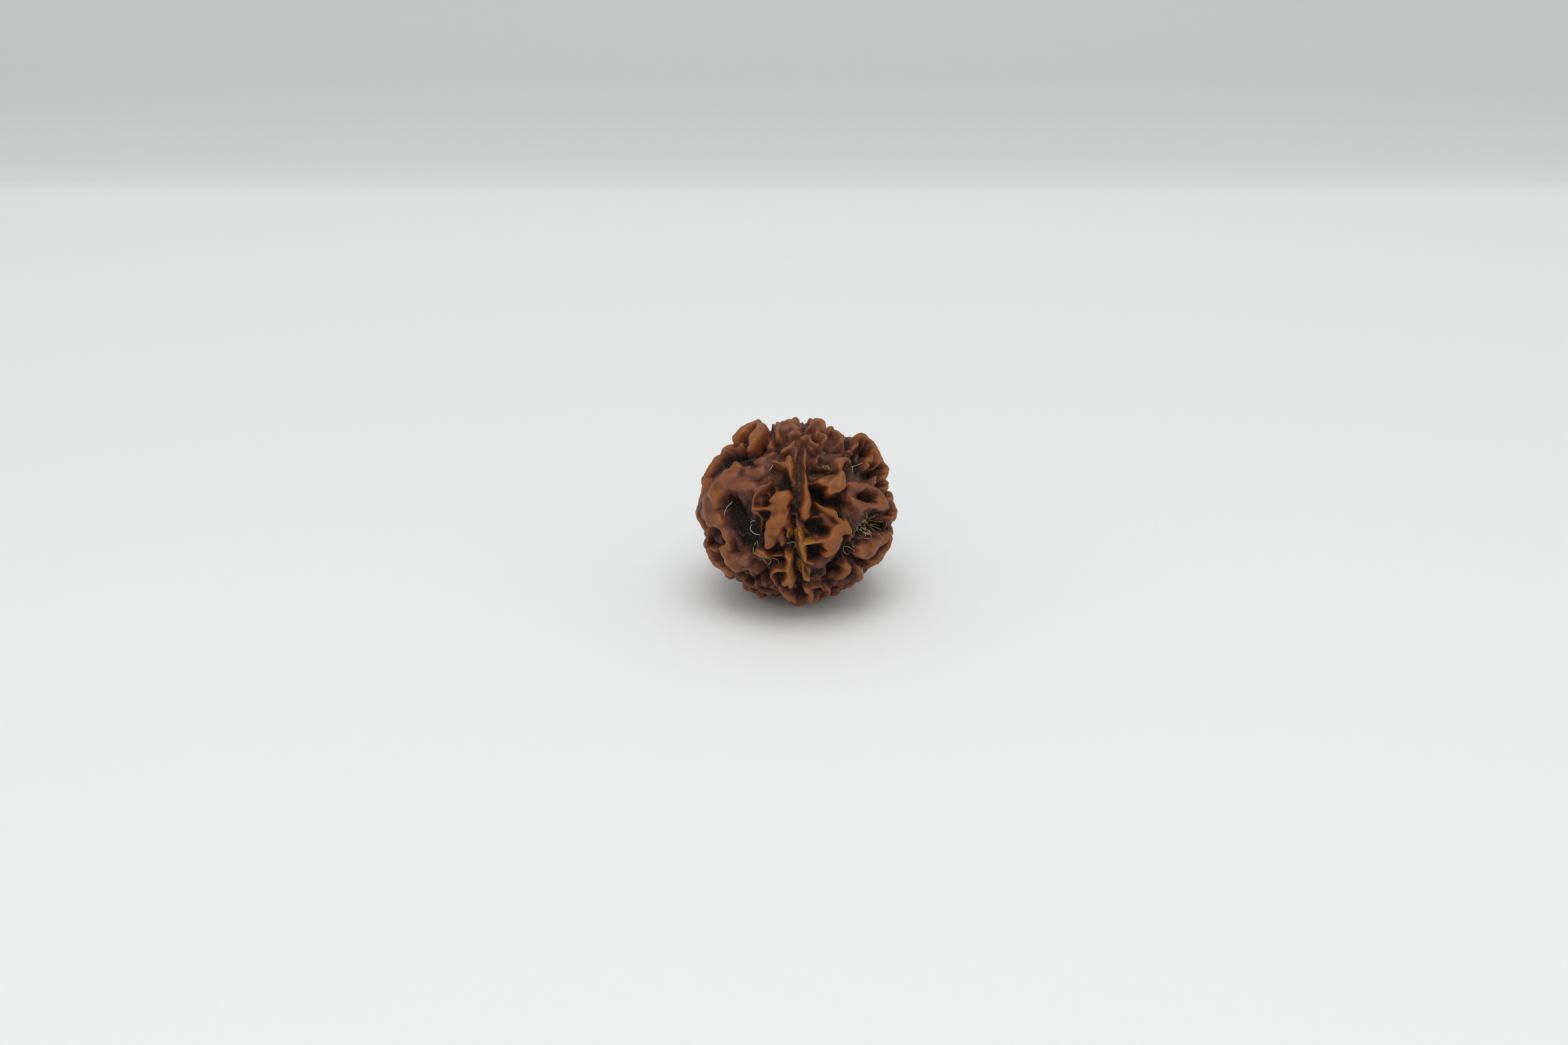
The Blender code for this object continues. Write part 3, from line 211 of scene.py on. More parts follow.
RIGHT_LOBES = (
    # Upper right rim, its inner lobe and the curl below
    Ridge(0.75, ((7.5, 9.1, 0.3), (8.4, 8.8, 0.42), (9.3, 8.0, 0.5), (9.9, 7.0, 0.5), (10.2, 6.1, 0.4))),
    Ridge(0.1, ((8.2, 8.0, 0.34), (8.8, 7.3, 0.5), (8.9, 6.5, 0.5), (8.6, 5.7, 0.4), (8.3, 5.0, 0.24))),
    Ridge(-0.15, ((8.6, 8.3, 0.4), (9.4, 7.4, 0.45), (9.6, 6.4, 0.4))),
    Ridge(-0.1, ((7.1, 8.4, 0.3), (7.2, 8.0, 0.36), (6.9, 7.5, 0.26))),
    Ridge(0.4, ((10.4, 5.8, 0.4), (10.9, 5.0, 0.55), (10.6, 4.1, 0.45))),
    Ridge(0.0, ((9.6, 5.4, 0.22), (9.95, 5.1, 0.22), (9.7, 4.5, 0.26), (9.45, 3.9, 0.26), (9.6, 3.2, 0.26))),
    Ridge(0.05, ((10.5, 3.4, 0.24), (10.9, 3.2, 0.34), (10.6, 2.7, 0.26))),
    # The lobe with the round hole
    Ridge(0.0, ((6.4, 3.0, 0.5), (7.6, 2.8, 0.8), (8.9, 2.4, 0.9), (10.0, 1.8, 0.9), (10.8, 1.0, 0.7))),
    Ridge(-0.1, ((6.8, 0.9, 0.6), (7.7, 0.5, 0.6), (8.8, 0.7, 0.7), (9.9, 0.7, 0.75), (10.9, 0.4, 0.6))),
    Ridge(-0.4, ((6.7, 2.6, 0.7), (6.5, 1.7, 0.8), (6.8, 0.9, 0.7))),
    Ridge(-0.6, ((7.3, 0.1, 0.5), (7.9, -0.4, 0.36))),
    Ridge(0.3, ((11.4, 1.3, 0.4), (11.8, 0.3, 0.55), (11.7, -0.8, 0.55), (11.2, -1.5, 0.4))),
    # The lower right lobe and the low fold behind it
    Ridge(-0.9, ((9.3, -3.3, 0.22), (9.9, -2.9, 0.18), (10.7, -2.6, 0.22))),
    Ridge(0.0, (
        (7.5, -4.9, 0.85), (8.6, -5.0, 1.2), (9.6, -4.5, 1.15), (10.5, -3.7, 0.9), (11.2, -3.1, 0.5),
    )),
    Ridge(0.35, (
        (11.3, -3.6, 0.4), (10.9, -4.6, 0.5), (10.3, -5.5, 0.5), (9.6, -6.2, 0.45), (8.9, -6.8, 0.4),
    )),
    Ridge(0.2, ((7.5, -7.1, 0.35), (7.8, -7.9, 0.42), (7.4, -8.6, 0.36))),
    Ridge(0.0, ((7.1, -8.8, 0.32), (6.2, -9.3, 0.32))),
)

MIDDLE_FOLDS = (
    # Middle ground beside the seam, and the rough ground of the panels
    Ridge(-0.4, ((0.1, 8.2, 0.4), (-0.25, 6.6, 0.4), (-0.3, 4.6, 0.4), (-0.3, 2.8, 0.4))),
    Ridge(-0.4, ((0.55, 6.0, 0.2), (0.6, 4.4, 0.25), (0.65, 2.6, 0.3), (0.5, 0.8, 0.3))),
    Ridge(-0.5, ((-1.0, 0.8, 0.35), (-1.2, -0.8, 0.4), (-1.3, -2.0, 0.4))),
    Ridge(-0.45, ((-6.6, 4.6, 1.0), (-5.4, 4.3, 1.1), (-4.4, 4.6, 0.9))),
    Ridge(-0.6, ((-4.6, 5.8, 0.7), (-3.6, 6.4, 0.6), (-2.9, 6.8, 0.5))),
    Ridge(-0.8, ((1.6, 5.0, 0.2), (2.0, 4.9, 0.2))),
)

FRONT_RIDGES = SEAM_EDGES + LEFT_PANEL + LEFT_LOBE + TOP + RIGHT_PANEL + RIGHT_LOBES + MIDDLE_FOLDS

PITS = (
    # Left of the middle seam
    Cut(-2.5, ((-7.7, 0.9, 1.05), (-7.2, -0.5, 1.5), (-6.5, -2.2, 1.65), (-5.9, -3.9, 1.3))),
    Cut(-2.2, ((-5.2, -2.0, 0.55), (-5.0, -3.2, 0.6))),
    Cut(-2.0, ((-7.1, 6.2, 0.3), (-6.4, 6.3, 0.4), (-5.6, 6.4, 0.3))),
    Cut(-1.8, ((-2.7, 4.5, 0.4), (-1.9, 3.6, 0.5), (-1.3, 2.8, 0.25))),
    Cut(-1.4, ((-8.9, 5.6, 0.25), (-8.0, 6.4, 0.3))),
    Cut(-2.1, ((-4.9, -6.4, 0.3), (-4.1, -6.9, 0.55), (-3.8, -7.8, 0.4))),
    Cut(-1.6, ((-2.7, -4.6, 0.25), (-2.0, -4.7, 0.2))),
    # Right of it, from the top down
    Cut(-2.0, ((3.4, 7.2, 0.25), (4.2, 7.1, 0.35), (4.9, 7.0, 0.25))),
    Cut(-1.8, ((2.7, 5.75, 0.25), (3.6, 5.7, 0.2))),
    Cut(-1.7, ((1.9, 4.4, 0.25), (3.0, 4.3, 0.25), (4.0, 4.4, 0.15))),
    Cut(-2.5, ((2.0, 2.5, 0.3), (2.3, 1.8, 0.5), (3.0, 1.2, 0.35))),
    Cut(-1.9, ((3.8, 1.0, 0.3), (4.6, 1.0, 0.35), (5.4, 0.5, 0.3))),
    Cut(-2.2, ((1.5, -1.7, 0.4), (2.3, -1.9, 0.65), (2.9, -2.4, 0.4))),
    Cut(-1.9, ((1.7, -4.9, 0.25), (2.2, -5.2, 0.2))),
    Cut(-2.2, ((4.1, -6.5, 0.4), (4.2, -7.2, 0.55), (3.5, -7.8, 0.35))),
    Cut(-1.9, ((4.8, -5.8, 0.2), (5.5, -5.1, 0.3), (6.2, -4.5, 0.35), (6.7, -3.7, 0.4))),
    Cut(-2.4, ((7.7, 1.75, 0.3), (8.2, 1.6, 0.42), (8.6, 1.5, 0.3))),
    Cut(-2.5, ((7.5, -2.6, 0.75), (8.5, -2.0, 0.9), (9.6, -1.7, 0.65), (10.3, -1.9, 0.25))),
    Cut(-1.5, ((6.5, 6.5, 0.2), (6.6, 5.7, 0.4), (6.9, 4.6, 0.35))),
    Cut(-2.2, ((9.1, 4.4, 0.25), (8.6, 4.2, 0.4), (8.1, 4.8, 0.25))),
    Cut(-1.7, ((7.7, 6.9, 0.08), (7.6, 6.2, 0.12))),
    Cut(-1.9, ((7.0, -7.8, 0.25), (6.2, -8.6, 0.25))),
)

PIT_KNOBS = (
    # Small knobs that stand on the floor of the left pit
    Ridge(-1.5, ((-6.9, -2.6, 0.25), (-6.6, -3.0, 0.18))),
    Ridge(-1.9, ((-6.7, -0.5, 0.3), (-7.2, 0.3, 0.3))),
    Ridge(-1.8, ((-5.9, -4.2, 0.25), (-6.6, -4.4, 0.2))),
)

FRONT_CUTS = (
    # The middle seam
    Cut(-0.95, (
        (0.75, 8.0, 0.1), (0.45, 7.0, 0.12), (0.25, 6.0, 0.14), (0.15, 4.6, 0.16), (0.2, 3.0, 0.16),
        (0.05, 1.4, 0.16), (-0.2, 0.0, 0.16), (-0.5, -1.3, 0.18),
    )),
    Cut(-1.5, ((-0.5, -1.3, 0.16), (-0.5, -2.8, 0.18), (-0.35, -4.4, 0.18))),
    Cut(-1.7, (
        (-0.35, -4.4, 0.18), (-0.15, -5.8, 0.2), (0.05, -7.2, 0.24), (0.25, -8.7, 0.26), (0.45, -10.0, 0.28),
        (0.6, -10.9, 0.3),
    )),
    # Round and slotted holes that go down between the folds
    Cut(-2.4, ((-4.15, 1.7, 0.3), (-4.15, 0.95, 0.3))),
    Cut(-1.6, ((-4.2, 8.1, 0.12), (-4.5, 7.5, 0.2), (-4.9, 6.9, 0.25))),
    Cut(-1.7, ((-3.4, 2.45, 0.2), (-3.1, 2.55, 0.2))),
    Cut(-2.5, ((-10.0, -3.1, 0.4), (-9.5, -3.9, 0.45))),
    Cut(-0.9, ((-10.1, -5.1, 0.1), (-9.4, -5.9, 0.12))),
    Cut(-3.3, ((8.15, 1.7, 0.35), (8.6, 1.6, 0.45), (9.0, 1.5, 0.35))),
    Cut(-1.3, ((7.3, -6.3, 0.14), (8.6, -6.5, 0.18))),
    Cut(-2.1, ((-2.1, -6.35, 0.34),)),
    Cut(-2.4, ((-2.3, -8.2, 0.26), (-1.95, -7.9, 0.26))),
    Cut(-1.6, ((5.0, -0.5, 0.12), (5.6, -0.9, 0.14))),
)

# Valleys that run over the outline: (x, y, z, half width) in the stone's frame, and the floor
OVER_THE_EDGE = (
    Cut(-1.9, (
        (-3.2, -4.0, 9.3, 0.2), (-3.3, -1.5, 9.9, 0.22), (-3.3, 1.5, 9.9, 0.3), (-3.2, 4.0, 9.2, 0.4),
    )),
    Cut(-0.7, ((0.8, -3.5, 10.2, 0.15), (0.95, 0.0, 10.8, 0.15), (0.8, 3.0, 10.3, 0.2))),
    Cut(-0.9, ((0.55, -2.5, -10.5, 0.25), (0.6, 0.0, -10.8, 0.25), (0.5, 3.0, -10.3, 0.3))),
)


class StainAndShade(Enum):
    """Where old pulp, dust and wear have coloured the front, and where shade is painted into the holes:
    (right, up, half width) along each stroke.
    """

    GOLDEN_PULP = (
        ((0.15, -2.7, 0.35), (0.35, -3.5, 0.4), (0.5, -4.5, 0.45), (0.7, -5.6, 0.4)),
        ((0.45, -6.7, 0.25), (0.5, -7.6, 0.3), (0.8, -8.3, 0.35)),
        ((-0.95, -5.6, 0.25), (-1.0, -6.6, 0.3), (-1.05, -7.4, 0.3), (-0.8, -8.6, 0.35)),
        ((-1.0, -2.6, 0.15), (-0.95, -3.1, 0.2)),
        ((0.6, -4.2, 0.25), (1.8, -3.9, 0.2)),
    )
    SEAM_DUST = (
        ((0.75, 8.0, 0.2), (0.3, 6.2, 0.3), (0.15, 4.6, 0.35), (0.15, 2.8, 0.35), (0.0, 1.0, 0.3)),
        ((6.6, 6.6, 0.3), (6.8, 5.6, 0.5), (7.0, 4.8, 0.4)),
        ((2.0, 4.4, 0.3), (3.4, 4.4, 0.3)),
        ((3.2, 5.7, 0.3), (4.0, 5.7, 0.2)),
    )
    # Painted shade in the deep holes
    HOLE_SHADE = (
        ((8.1, 1.7, 0.45), (8.8, 1.55, 0.7), (9.4, 1.4, 0.5)),
        ((-10.0, -3.1, 0.35), (-9.5, -3.9, 0.4)),
        ((2.0, 2.4, 0.2), (2.3, 1.8, 0.45)),
        ((-4.15, 1.7, 0.25), (-4.15, 0.95, 0.25)),
        ((1.7, -1.9, 0.4), (2.4, -2.1, 0.45)),
        ((-5.2, -2.0, 0.4), (-5.0, -3.2, 0.45)),
        ((9.0, 4.4, 0.3), (8.5, 4.3, 0.3)),
    )
    MEALY = (
        ((-2.5, 9.6, 1.2), (0.0, 9.6, 1.6), (3.0, 8.8, 1.6), (5.0, 8.2, 1.2)),
        ((-0.2, 8.0, 1.0), (3.0, 6.8, 1.4), (5.2, 6.0, 0.8)),
        ((-5.2, 4.3, 1.4), (-3.8, 4.9, 1.3), (-3.0, 6.2, 1.0)),
        ((-8.0, 3.2, 0.7), (-6.0, 2.9, 0.8), (-4.6, 2.2, 0.7)),
        ((-6.6, -6.4, 1.0), (-5.0, -7.2, 0.8)),
        ((7.5, 3.0, 0.8), (9.4, 2.8, 0.8)),
        ((7.3, 0.0, 0.8), (8.6, -0.2, 0.8)),
    )


def smooth_step(t: np.ndarray) -> np.ndarray:
    """Eases each number of an array from 0 to 1 as it goes from 0 to 1."""
    t = np.clip(t, 0.0, 1.0)
    return t * t * (3.0 - 2.0 * t)


def ripple(places: np.ndarray, wavelength: float, seed: int) -> np.ndarray:
    """Smooth noise between about -1 and 1, the sum of a few plane waves in seeded directions.

    Args:
        places: Points, one a row, in millimetres.
        wavelength: Typical distance between two crests of the noise, in millimetres.
        seed: Seed of the directions, pitches and phases.

    Returns:
        One value a point.
    """
    rng = np.random.default_rng(seed)
    total = np.zeros(len(places))
    for _ in range(WAVES):
        direction = rng.normal(size=3)
        direction /= np.linalg.norm(direction)
        pitch = wavelength * rng.uniform(*WAVE_PITCHES)
        total += np.sin(places @ direction * 2.0 * math.pi / pitch + rng.uniform(0.0, 2.0 * math.pi))
    return total / (WAVE_PEAK * math.sqrt(WAVES / 2.0))


def drift(places: np.ndarray, wavelength: float, first_seed: int) -> np.ndarray:
    """A ripple along each axis, with seeds that follow each other."""
    return np.stack([ripple(places, wavelength, first_seed + axis) for axis in range(3)], axis=1)


def along_path(
    places: np.ndarray, points: np.ndarray, widths: np.ndarray
) -> tuple[np.ndarray, np.ndarray, np.ndarray]:
    """Distance from each place to a path, with the half width and the share of the way nearest to it.

    Args:
        places: Points to measure from, one a row.
        points: Points of the path, one a row.
        widths: Half width of the path at each of its points.

    Returns:
        Distance, half width, and number of legs gone along the path, for each place.
    """
    if len(points) == 1:
        distance = np.linalg.norm(places - points[0], axis=1)
        return distance, np.full(len(places), widths[0]), np.zeros(len(places))
    nearest = np.full(len(places), np.inf)
    way = np.zeros(len(places))
    for number in range(len(points) - 1):
        leg = points[number + 1] - points[number]
        share = np.clip((places - points[number]) @ leg / max(leg @ leg, 1e-9), 0.0, 1.0)
        distance = np.linalg.norm(places - points[number] - share[:, None] * leg, axis=1)
        closer = distance < nearest
        nearest[closer] = distance[closer]
        way[closer] = number + share[closer]
    return nearest, np.interp(way, np.arange(len(widths)), widths), way


@dataclass
class SquatBall:
    """The mean crest of the ridges: a squat ball that every feature is placed on, in millimetres.

    The front's features are placed as they are seen from the view distance, level with the middle.
    """

    radius: float = 11.95
    half_height: float = 11.18
    view_distance: float = 335.0
    curve_steps: int = 4

    def mean_crest(self, directions: np.ndarray) -> np.ndarray:
        """Distance from the ball's middle to its surface, along unit directions.

        Args:
            directions: Unit vectors in the stone's frame, one a row.

        Returns:
            One distance a direction.
        """
        across = (directions[..., 0] ** 2 + directions[..., 1] ** 2) / self.radius**2
        along = directions[..., 2] ** 2 / self.half_height**2
        return 1.0 / np.sqrt(across + along)

    def on_crest(self, point: np.ndarray) -> np.ndarray:
        """The point of the mean crest that lies in the direction of a point."""
        direction = np.asarray(point, float) / np.linalg.norm(point)
        return direction * self.mean_crest(direction)

    def seen_at(self, right: float, up: float, lift: float) -> np.ndarray:
        """Where a point of the front view lies on the crest.

        Args:
            right: Millimetres to the right of the stone's middle, in the front view.
            up: Millimetres above the stone's middle, in the front view.
            lift: How far the crest that is met is raised over the mean crest.

        Returns:
            The point on the mean crest, in the stone's frame. One outside the outline is taken to
            the nearest place on it.
        """
        eye = np.array((0.0, -self.view_distance, 0.0))
        ray = np.array((right, self.view_distance, up))
        across, along_axis = self.radius + lift, self.half_height + lift
        squash = 1.0 / np.array((across, across, along_axis))
        start, step = eye * squash, ray * squash
        a, b, c = step @ step, start @ step, start @ start - 1.0
        along = (-b - math.sqrt(max(b * b - a * c, 0.0))) / a
        return self.on_crest(eye + ray * along)

    def rounded(self, path: tuple) -> np.ndarray:
        """A path as an array of rows, with a smooth curve in place of its corners.

        Args:
            path: Rows of numbers, of which the last is a half width.

        Returns:
            More rows of the same kind.
        """
        rows = np.array(path, float)
        if len(rows) < 3:
            return rows
        ends = np.vstack([2.0 * rows[0] - rows[1], rows, 2.0 * rows[-1] - rows[-2]])
        curve = []
        for a, b, c, d in zip(ends, ends[1:], ends[2:], ends[3:]):
            for step in range(self.curve_steps):
                t = step / self.curve_steps
                bend = t * (2 * a - 5 * b + 4 * c - d + t * (3 * (b - c) + d - a))
                curve.append(b + 0.5 * t * (c - a + bend))
        return np.array(curve + [rows[-1]])

    def front_path(self, path: tuple, lift: float) -> tuple[np.ndarray, np.ndarray]:
        """The path of a front feature as points on the mean crest, with the half width at each."""
        rows = self.rounded(path)
        return np.array([self.seen_at(right, up, lift) for right, up, _ in rows]), rows[:, 2]

    def edge_path(self, path: tuple) -> tuple[np.ndarray, np.ndarray]:
        """The path of a valley over the outline, as points on the mean crest and half widths."""
        rows = self.rounded(path)
        return np.array([self.on_crest(row[:3]) for row in rows]), rows[:, 3]

    def polar_point(self, azimuth: float, polar: float) -> np.ndarray:
        """The point of the mean crest at an azimuth from the middle seam and an angle from the top.

        Args:
            azimuth: Angle round the pole, towards the viewer's right.
            polar: Angle from the top pole.

        Returns:
            The point, in the stone's frame.
        """
        across = math.sin(polar)
        direction = (math.sin(azimuth) * across, -math.cos(azimuth) * across, math.cos(polar))
        return self.on_crest(direction)

    def facing(self, point: np.ndarray) -> float:
        """How far a point turns to the front view: 1 towards it, 0 on the outline, -1 away from it."""
        return -point[1] / np.linalg.norm(point)


@dataclass
class HiddenSides:
    """The sides that the front view does not show: knuckles, folds and seams set by a seeded rule.

    Lengths are millimetres and angles are radians. A pair of numbers holds the ends of a random draw.
    """

    ball: SquatBall
    seed: int = 41
    # Seams from pole to pole: the size and number of their waves, the step they are traced by, and
    # their floor and half width
    seam_count: int = 5
    seam_wave: float = 0.03
    seam_waves_round: float = 5.0
    seam_step: float = math.radians(5.0)
    seam_floor: float = -1.5
    seam_half_width: float = 0.28
    # Knuckles along both edges of a seam: the angle between them, and shares of it for each space and
    # for the room left at the far pole, then their distance from the seam and shares of it
    rim_angle: float = math.radians(11.0)
    rim_spacings: tuple = (0.8, 1.2)
    rim_stop: float = 0.7
    seam_margin: float = 0.85
    rim_offsets: tuple = (0.8, 1.25)
    rim_sizes: tuple = (0.4, 0.7)
    rim_lifts: tuple = (-0.3, 0.2)
    # Knuckles over the panels between the seams
    panel_knuckles: int = 185
    tries: int = 8
    panel_sizes: tuple = (0.5, 1.15)
    panel_lifts: tuple = (-0.5, 0.35)
    # Folds that join near knuckles: their reach, the chance of each, and their bend, waist and dip
    join_reach: float = 3.3
    rim_joins: float = 0.85
    panel_joins: float = 0.42
    fold_bend: float = 0.4
    fold_waists: tuple = (0.5, 0.95)
    fold_dip: float = 0.4
    # How far a hidden feature has to turn away, from where it starts to sink, and how far it sinks
    front_limit: float = -0.03
    sink_start: float = -0.3
    sink: float = 0.5

    def seam_azimuth(self, number: int, polar: float) -> float:
        """Azimuth of a seam at a polar angle: a meridian with a slight wave."""
        wave = self.seam_wave * math.sin(self.seam_waves_round * polar + number)
        return 2.0 * math.pi * number / self.seam_count + wave

    def rim_knuckles(self, rng: random.Random) -> list[Knuckle]:
        """Knuckles along both edges of every seam, from pole to pole.

        Args:
            rng: The seeded source of every draw.

        Returns:
            The knuckles, in order.
        """
        knuckles = []
        for number in range(self.seam_count):
            for side in (-1, 1):
                polar = rng.uniform(*self.rim_spacings) * self.rim_angle
                while polar < math.pi - self.rim_stop * self.rim_angle:
                    reach = self.ball.radius * math.sin(polar)
                    offset = rng.uniform(*self.rim_offsets) * self.seam_margin / reach
                    place = self.ball.polar_point(self.seam_azimuth(number, polar) + side * offset, polar)
                    half_width, lift = rng.uniform(*self.rim_sizes), rng.uniform(*self.rim_lifts)
                    panel = (number if side > 0 else number - 1) % self.seam_count
                    knuckles.append(Knuckle(place, half_width, lift, panel))
                    polar += rng.uniform(*self.rim_spacings) * self.rim_angle
        return knuckles

    def add_panel_knuckles(self, rng: random.Random, knuckles: list[Knuckle]) -> None:
        """Fills the panels between the rims: each new knuckle is the farthest of a few tries.

        Args:
            rng: The seeded source of every draw.
            knuckles: Those along the rims, to which the new ones are added.
        """
        full_turn = 2.0 * math.pi
        for _ in range(self.panel_knuckles):
            tries = [
                (rng.uniform(0.0, full_turn), math.acos(rng.uniform(-1.0, 1.0))) for _ in range(self.tries)
            ]
            taken = np.array([knuckle.place for knuckle in knuckles])
            room = [np.linalg.norm(taken - self.ball.polar_point(*spot), axis=1).min() for spot in tries]
            azimuth, polar = tries[int(np.argmax(room))]
            half_width, lift = rng.uniform(*self.panel_sizes), rng.uniform(*self.panel_lifts)
            panel = int(azimuth / (full_turn / self.seam_count))
            knuckles.append(Knuckle(self.ball.polar_point(azimuth, polar), half_width, lift, panel))

    def saddle(self, rng: random.Random, first: Knuckle, second: Knuckle) -> tuple:
        """A fold from one knuckle to the next, narrower and a little lower midway.

        Args:
            rng: The seeded source of every draw.
            first: The knuckle that it starts from.
            second: The knuckle that it leads to.

        Returns:
            Its points, half widths and lifts.
        """
        bend = np.array([rng.uniform(-self.fold_bend, self.fold_bend) for _ in range(3)])
        middle = self.ball.on_crest((first.place + second.place) / 2.0 + bend)
        waist = rng.uniform(*self.fold_waists) * min(first.half_width, second.half_width)
        dip = rng.uniform(0.0, self.fold_dip)
        points = np.array([first.place, middle, second.place])
        widths = np.array([first.half_width, waist, second.half_width])
        return points, widths, np.array([first.lift, (first.lift + second.lift) / 2.0 - dip, second.lift])

    def all_ridges(self) -> list[tuple]:
        """Knuckles and folds all round the stone: (points, half widths, lifts) of each.

        Returns:
            The ridges, each knuckle followed by the folds that start from it.
        """
        rng = random.Random(self.seed)
        knuckles = self.rim_knuckles(rng)
        rim_count = len(knuckles)
        self.add_panel_knuckles(rng, knuckles)
        ridges = []
        for number, knuckle in enumerate(knuckles):
            ridges.append((knuckle.place[None], np.array([knuckle.half_width]), np.array([knuckle.lift])))
            for other_number, other in enumerate(knuckles[number + 1:], number + 1):
                apart = np.linalg.norm(knuckle.place - other.place)
                along_rim = number < rim_count and other_number == number + 1
                chance = self.rim_joins if along_rim else self.panel_joins
                if apart < self.join_reach and knuckle.panel == other.panel and rng.random() < chance:
                    ridges.append(self.saddle(rng, knuckle, other))
        return ridges

    def ridges(self) -> list[tuple]:
        """The ridges that the front view does not show: (points, half widths, lifts) of each.

        Returns:
            The ridges. Next to the outline they sink a little, so that the front's outline stands.
        """
        hidden = []
        for points, widths, lifts in self.all_ridges():
            towards = max(self.ball.facing(point) for point in points)
            if towards < self.front_limit:
                span = self.front_limit - self.sink_start
                nearness = np.clip((towards - self.sink_start) / span, 0.0, 1.0)
                hidden.append((points, widths, lifts - self.sink * nearness))
        return hidden

    def seams(self) -> list[tuple]:
        """The seams but for the middle one: (floor, points, half widths) of their hidden part.

        Returns:
            The seams that have a hidden part.
        """
        seams = []
        polars = [self.seam_step * step for step in range(1, round(math.pi / self.seam_step))]
        for number in range(1, self.seam_count):
            points = [self.ball.polar_point(self.seam_azimuth(number, polar), polar) for polar in polars]
            hidden = np.array([point for point in points if self.ball.facing(point) < self.front_limit])
            if len(hidden) > 1:
                seams.append((self.seam_floor, hidden, np.full(len(hidden), self.seam_half_width)))
        return seams


